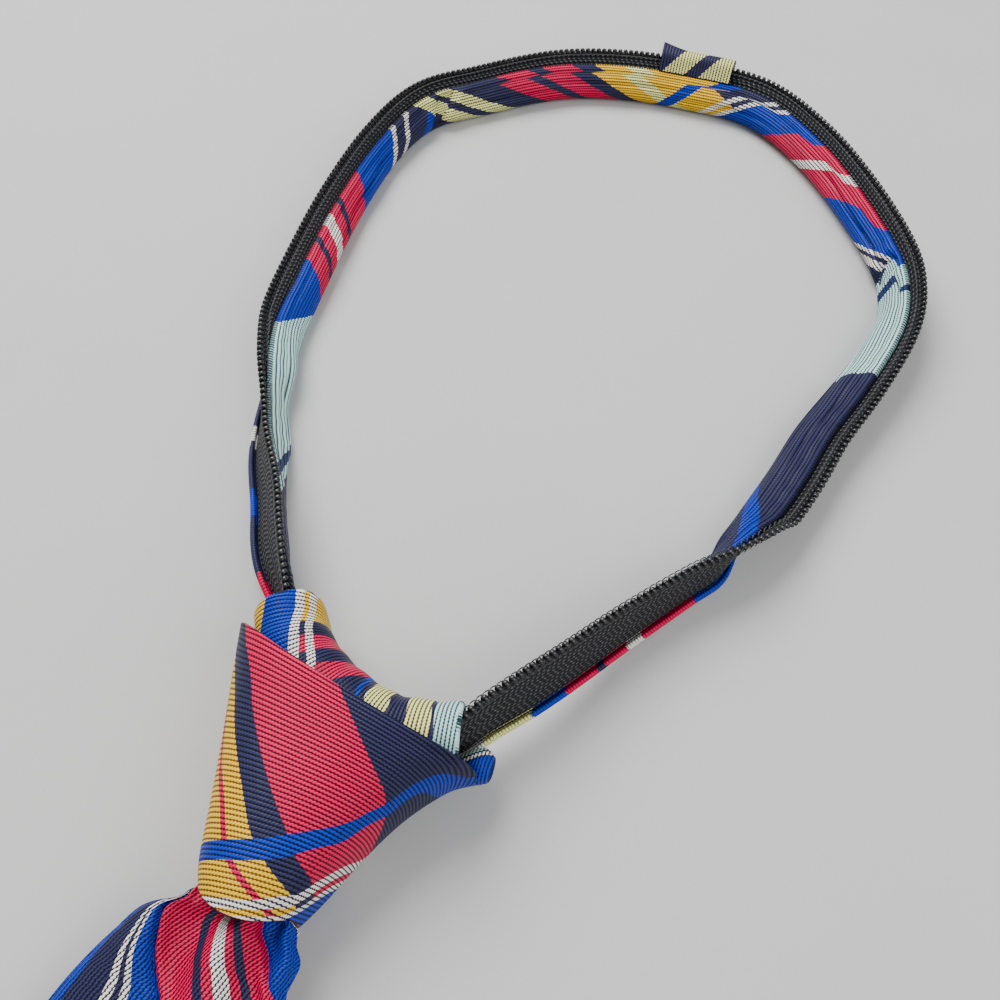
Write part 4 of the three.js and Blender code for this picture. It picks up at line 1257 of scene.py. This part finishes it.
class TIE_OT_knot(bpy.types.Operator):
    """Front wrap of the knot, the roll behind its top edge and the curl at its corner"""

    bl_idname = "zipper_tie.knot"
    bl_label = "Knot"

    def execute(self, context):
        self.front()
        self.roll()
        self.curl()
        return {"FINISHED"}

    def front(self):
        """The tapered sleeve that shows as the knot's front."""
        rows = 96
        columns = 176
        turns = np.linspace(-np.pi / 2, 3 * np.pi / 2, columns + 1)[:-1]
        shy = 0.45 * KNOT_WALL / KNOT_HEIGHT
        wall = KNOT_WALL * 0.9
        shares, insets = wall_rows(shy, 1 - shy, rows, 22, 5, wall)
        points = knot_ring(shares, insets, turns)
        front = np.maximum(np.sin(turns), 0)[None, :]
        outside = (1 - insets / wall)[:, None]
        offset = points[..., :2] - KNOT_CORNER
        away = np.linalg.norm(offset, axis=-1)
        swing = np.arctan2(offset[..., 1], offset[..., 0])
        gather = np.sin(swing * 15 + np.sin(swing * 4) * 1.5) * 0.48 * np.exp(-((away - 3) / 6) ** 2)
        sag = -0.5 * hump(points[..., 1] + points[..., 0] * 0.6, -16, 5) * hump(points[..., 0], -5, 12)
        points[..., 2] += (gather + sag * 0.6) * front ** 0.5 * outside
        crown = columns // 2
        girth = lengths(np.concatenate([points, points[:, :1]], axis=1))
        girth = girth - girth[:, crown:crown + 1]
        closed = np.concatenate([points, points[:, :1]], axis=1)
        x = closed[..., 0].copy()
        limit = int(columns * KNOT_FRONT_TURN / 360)
        first = crown - limit
        last = crown + limit
        for stop, beyond in ((first, slice(0, first)), (last, slice(last + 1, columns + 1))):
            x[:, beyond] = x[:, stop:stop + 1] - (girth[:, beyond] - girth[:, stop:stop + 1])
        y = closed[..., 1]
        lean = 0.2 + (y + 7) * 0.011
        ribs = np.stack([x, -(y + np.clip(lean, -0.1, 0.25) * x)], axis=-1)
        stripes = np.stack([
            fitted_bend(KNOT_BASE_EDGES, x, y),
            fitted_bend(KNOT_CROSSING_EDGES, x, y),
        ], axis=-1)
        stripes[rows:] = KNOT_INSIDE_STRIPES
        mesh = skin("knot_front", points, {"ribs": ribs, "stripes": stripes}, rows_closed=True)
        cloth = cloth_finish("knot_cloth", KNOT_BASE, KNOT_CROSSING, settings().rib, (-0.7, -0.7))
        piece = place("knot_front_cloth", mesh, (cloth,), "tie_cloth", ("knot_front",))

    def roll(self):
        """The rolled tube behind the knot's top edge, with its creases."""
        rows = 84
        columns = 72
        turns = np.linspace(-np.pi / 2, 3 * np.pi / 2, columns + 1)[:-1]
        shy = 0.02
        wall = ROLL_WALL * 0.9
        shares, insets = wall_rows(shy, 1 - shy, rows, 18, 4, wall)
        row = smooth_rows(ROLL_ROUTE, shares)
        size = np.array([KNOT_WIDTH, KNOT_HEIGHT])
        along = (smooth_rows(ROLL_ROUTE, np.minimum(shares + 0.01, 1))
                 - smooth_rows(ROLL_ROUTE, np.maximum(shares - 0.01, 0)))[:, :2] * size
        along /= np.linalg.norm(along, axis=1)[:, None]
        aside = np.stack([-along[:, 1], along[:, 0]], axis=1)
        deep = (ROLL_DEPTH * row[:, 2] / 2 - insets)[:, None]
        thick = (ROLL_THICKNESS * row[:, 3] / 2 - insets)[:, None]
        height = KNOT_WALL + CLEARANCE + ROLL_THICKNESS / 2
        back = np.sign(np.cos(turns)) * np.abs(np.cos(turns)) ** ROLL_ROUND
        rise = np.sign(np.sin(turns)) * np.abs(np.sin(turns)) ** ROLL_ROUND
        length = lengths(np.stack([row[:, 0] * KNOT_WIDTH, row[:, 1] * KNOT_HEIGHT], axis=1)[:rows])
        fold = np.interp(shares, shares[:rows], length)[:, None]
        outside = (1 - insets / wall)[:, None]
        crease = 0.32 * np.sin(fold * 0.95 + np.sin(turns) * 1.2) * outside * hump(turns, np.pi * 0.4, 1.1)
        flat = (row[:, :2] * size)[:, None] + aside[:, None] * ((deep + crease * 0.7) * back)[..., None]
        points = np.stack([flat[..., 0], flat[..., 1], height + (thick + crease) * rise], axis=-1)
        closed = np.concatenate([points, points[:, :1]], axis=1)
        around = lengths(closed)
        around = around - around[:, columns // 2:columns // 2 + 1]
        ribs = np.stack(np.broadcast_arrays(around, fold + around * 0.12), axis=-1)
        x = closed[..., 0]
        y = closed[..., 1]
        stripes = np.stack([fitted_bend(ROLL_EDGES, x, y), 0.6 * x - 0.8 * y + 14], axis=-1)
        mesh = skin("knot_roll", points, {"ribs": ribs, "stripes": stripes}, rows_closed=True)
        cloth = cloth_finish("roll_cloth", ROLL_BASE, ROLL_CROSSING, settings().rib, (0.6, -0.3))
        piece = place("knot_roll_cloth", mesh, (cloth,), "tie_cloth", ("knot_roll",))

    def curl(self):
        """The small flared curl at the knot's corner."""
        columns = 40
        corner = KNOT_SECTIONS[-1]
        start = np.array([
            corner[2] * KNOT_WIDTH - CURL_LENGTH * CURL_TUCKED_SHARE - 0.8,
            corner[3] * KNOT_HEIGHT + CURL_DIAMETER / 2 + CLEARANCE + 0.1,
            KNOT_THICKNESS * CURL_HEIGHT_SHARE + 1.4,
        ])
        long = CURL_LENGTH * 1.25
        rows = 26
        edge_rows = 5
        shares, insets = wall_rows(0.03, 0.9, rows, 10, edge_rows, CURL_WALL * 0.85)
        flare = CURL_NARROW_SHARE + 0.85 * np.sin(np.minimum(shares * 1.35, 1) * np.pi / 2)
        flare = flare - 0.42 * ease(0.62, 1.05, shares)
        turns = np.arange(columns) * 2 * np.pi / columns
        radius = (CURL_DIAMETER / 2 * flare - insets)[:, None]
        radius = radius * (1 + 0.04 * np.sin(turns * 3 + 0.6))
        x = np.broadcast_to((start[0] + long * shares)[:, None], radius.shape)
        y = start[1] + radius * np.cos(turns)
        z = start[2] + radius * np.sin(turns) * 1.3
        points = np.stack([x, y, z], axis=-1)
        around = np.linspace(0, np.pi * CURL_DIAMETER, columns + 1)
        outside = rows + edge_rows
        along = np.concatenate([shares[:outside] * long, 2 * long - shares[outside:] * long])
        ribs = np.stack(np.broadcast_arrays(around[None, :], along[:, None]), axis=-1)
        closed = np.concatenate([points, points[:, :1]], axis=1)
        slant = 0.6 * (closed[..., 0] - start[0]) - 0.9 * (closed[..., 1] - start[1]) + 2
        stripes = np.stack([slant, slant * 0], axis=-1)
        mesh = skin("knot_corner_curl", points, {"ribs": ribs, "stripes": stripes}, rows_closed=True)
        chart = (("navy", 0.4), ("mint", 2.2), ("navy", 2.5), ("white", 3.2), ("navy", 3.5), ("blue", 12))
        cloth = cloth_finish("curl_cloth", chart, (("none", 12),), settings().rib * 0.8, (1.0, 0.0))
        place("knot_corner_curl_cloth", mesh, (cloth,), "tie_cloth", ("knot_corner_curl",))


# Down from the tie's origin, in millimetres: where the blade's two folds run, as shares across it
FIRST_FOLD = (
    (39, 0.03), (41.8, 0.095), (46, 0.21), (50.3, 0.3), (54.9, 0.42), (62, 0.46), (90, 0.5),
)
SECOND_FOLD = (
    (39, 0.7), (41.8, 0.74), (44.5, 0.81), (49.4, 0.94), (55, 0.96), (62, 0.97), (90, 0.98),
)

# How far the blade's left and right edges spread to the side as it leaves the knot
LEFT_SPREAD = (
    (36.5, 0), (38.6, -2), (40, -3), (42.5, -2.8), (45, -2), (48, -1.4), (55.6, -1.1), (65, -0.6),
    (90, 0),
)
RIGHT_SPREAD = (
    (36.5, 0), (38.6, 3), (40, 5.4), (41.4, 4.2), (42.8, 2.2), (45.5, -0.8), (48.2, -3.1), (55, -4),
    (80, 0),
)

# Points across the blade's face
FACE_POINTS = 79

# The cloth is cut on the bias, so its stripes lie at 45 degrees to the blade
BIAS = 0.7071

# Where the first and the second fold lie across the sett
FIRST_FOLD_STRIPE = 23.2
SECOND_FOLD_STRIPE = 47.7


class TIE_OT_blade(bpy.types.Operator):
    """Front blade, pleated at the knot, flat and pointed below"""

    bl_idname = "zipper_tie.blade"
    bl_label = "Blade"

    def execute(self, context):
        last = 1 - 1 / (len(BLADE_SECTIONS) - 1) * 0.02
        shares = np.concatenate([
            np.linspace(0, 0.42, 110), np.linspace(0.42, 0.86, 70)[1:], np.linspace(0.86, last, 44)[1:]])
        row = smooth_rows(BLADE_SECTIONS, shares)
        y = BLADE_START * KNOT_HEIGHT - row[:, 0] * BLADE_LENGTH
        width = np.maximum(row[:, 1], BLADE_NARROWEST) * BLADE_WIDTH
        lift = np.maximum(row[:, 2], 0) * BLADE_LIFT
        pleat = np.maximum(row[:, 3], 0) * PLEAT_HEIGHT
        upper = (1 - np.cos(np.linspace(0, np.pi, FACE_POINTS))) / 2
        upper = 0.25 * upper + 0.75 * np.linspace(0, 1, FACE_POINTS)
        lower = np.concatenate([np.linspace(1, 0.53, 12), [0.515, 0.5, 0.485], np.linspace(0.47, 0, 12)])
        top = self.height(upper, pleat) + lift[:, None] + BLADE_THICKNESS
        bottom = self.height(lower, pleat) + lift[:, None]
        groove = 0.9 * hump(lower, 0.5, 0.012)
        bottom = bottom + groove * ease(8, 20, width)[:, None]
        roll = 1.1 * (hump(upper, 0, 0.022) + hump(upper, 1, 0.022))
        roll_under = 0.6 * (hump(lower, 0, 0.022) + hump(lower, 1, 0.022))
        top = top - roll
        bottom = bottom + roll_under
        fold = self.fold_places(y)
        fade = (1 - ease(0.16, 0.42, shares))[:, None]
        first = fold[:, :1]
        second = fold[:, 1:]
        valley = hump(upper, first - 0.014, 0.018) * -1.7 + hump(upper, first + 0.03, 0.03) * 1.2
        dent = hump(upper, second + 0.012, 0.016) * -0.9 + hump(upper, second - 0.03, 0.03) * 0.6
        ripple = 0.12 * np.sin(y[:, None] * 0.11 + upper * 7) * hump(upper, 0.5, 0.3)
        top = top + (valley + dent) * fade + ripple * ease(0.1, 0.3, shares)[:, None]
        low, high = self.edges(y, width)
        upper_x = low + (high - low) * upper
        lower_x = low + (high - low) * lower
        y_grid = np.broadcast_to(y[:, None], upper_x.shape)
        top_points = np.stack([upper_x, y_grid, top], axis=-1)
        low_grid = np.broadcast_to(y[:, None], lower_x.shape)
        low_points = np.stack([lower_x, low_grid, bottom], axis=-1)
        side = np.minimum(width * 0.02, 0.35)
        push = np.stack([side, side * 0, side * 0], axis=-1)
        right = edge_arc(top_points[:, -1], low_points[:, 0], push, 3)
        left = edge_arc(low_points[:, -1], top_points[:, 0], -push, 3)
        points = np.concatenate([top_points, right, low_points, left], axis=1)
        layers = {"ribs": self.slanted_ribs(points, -y), "stripes": self.blade_stripes(points)}
        mesh = skin("blade_front", points, layers)
        cloth = cloth_finish(
            "blade_cloth", SETT_BASE, SETT_CROSSING, settings().rib, (0.7, -0.7), repeats=True)
        piece = place("blade_front_cloth", mesh, (cloth,), "tie_cloth", ("blade_front",))
        return {"FINISHED"}

    def height(self, across, pleat):
        """How high the pleats stand across the blade."""
        rise = np.zeros_like(across)
        for centre, half, high in PLEATS:
            offset = np.minimum(np.abs(across - centre) / half, 1)
            rise = rise + high * np.cos(offset * np.pi / 2) ** 2
        return pleat[:, None] * rise

    def unrolled(self, points):
        """Length across the cloth from its middle, following the pleats."""
        closed = np.concatenate([points, points[:, :1]], axis=1)
        around = lengths(closed)
        middle = FACE_POINTS // 2
        return around - around[:, middle:middle + 1]

    def slanted_ribs(self, points, down):
        """Lengths along and across the cloth's ribs, which run aslant, more so below the folds."""
        across = self.unrolled(points)
        path = np.linspace(down.min(), down.max(), 400)
        angle = np.radians(22 + 23 * ease(55, 110, path))
        step = path[1] - path[0]
        run_across = np.interp(down, path, np.cumsum(np.sin(angle)) * step)[:, None]
        run_along = np.interp(down, path, np.cumsum(np.cos(angle)) * step)[:, None]
        turn = np.interp(down, path, angle)[:, None]
        along = run_along - across * np.sin(turn)
        return np.stack([along, across * np.cos(turn) + run_across], axis=-1)

    def fold_places(self, y):
        """Where the blade's two folds run, as shares across it, down from the knot."""
        return np.stack([read(FIRST_FOLD, -y), read(SECOND_FOLD, -y)], axis=1)

    def edges(self, y, width):
        """The blade's left and right edges."""
        middle = BLADE_OFFSET * KNOT_WIDTH
        low = middle - width / 2 + read(LEFT_SPREAD, -y)
        high = middle + width / 2 + read(RIGHT_SPREAD, -y)
        return low[:, None], high[:, None]

    def blade_stripes(self, points):
        """Stripe coordinates of the blade: along it near the knot, at 45 degrees below."""
        closed = np.concatenate([points, points[:, :1]], axis=1)
        x = closed[..., 0]
        low = x.min(axis=1)[:, None]
        high = x.max(axis=1)[:, None]
        share = (x - low) / np.maximum(high - low, 0.1)
        down = -closed[..., 1] + 0.34 * x
        first, second = np.hsplit(self.fold_places(closed[:, 0, 1]), 2)
        left = share / first * FIRST_FOLD_STRIPE
        part = np.clip((share - first) / (second - first), 0, 2)
        middle = FIRST_FOLD_STRIPE + part ** 1.18 * (SECOND_FOLD_STRIPE - FIRST_FOLD_STRIPE)
        right = SECOND_FOLD_STRIPE + (share - second) * 28
        near = np.where(share < first, left, np.where(share < second, middle, right))
        blend = ease(58, 105, down)
        below = np.maximum(down - 55, 0) * BIAS
        crossing = near * (1 - blend) + (x + 27) * blend * BIAS + below * ease(50, 90, down)
        base = 266 + below - (x + 30) * BIAS * ease(55, 95, down)
        return np.stack([base, crossing], axis=-1)


OPERATORS = (TIE_OT_stage, TIE_OT_neck_band, TIE_OT_zip, TIE_OT_keeper, TIE_OT_knot, TIE_OT_blade)


class TIE_PT_sidebar(bpy.types.Panel):
    """Settings and steps of the zipper tie"""

    bl_idname = "TIE_PT_sidebar"
    bl_label = "Zipper Tie"
    bl_space_type = "VIEW_3D"
    bl_region_type = "UI"
    bl_category = "Zipper Tie"

    def draw(self, context):
        column = self.layout.column()
        for name in TieSettings.__annotations__:
            column.prop(context.scene.zipper_tie, name)
        for operator in OPERATORS:
            column.operator(operator.bl_idname)


CLASSES = (TieSettings, *OPERATORS, TIE_PT_sidebar)


def register():
    for each in CLASSES:
        bpy.utils.register_class(each)
    bpy.types.Scene.zipper_tie = bpy.props.PointerProperty(type=TieSettings)


def unregister():
    del bpy.types.Scene.zipper_tie
    for each in reversed(CLASSES):
        bpy.utils.unregister_class(each)


def main():
    """Makes every piece in order."""
    register()
    for operator in OPERATORS:
        group, name = operator.bl_idname.split(".")
        getattr(getattr(bpy.ops, group), name)()


if __name__ == "__main__":
    main()
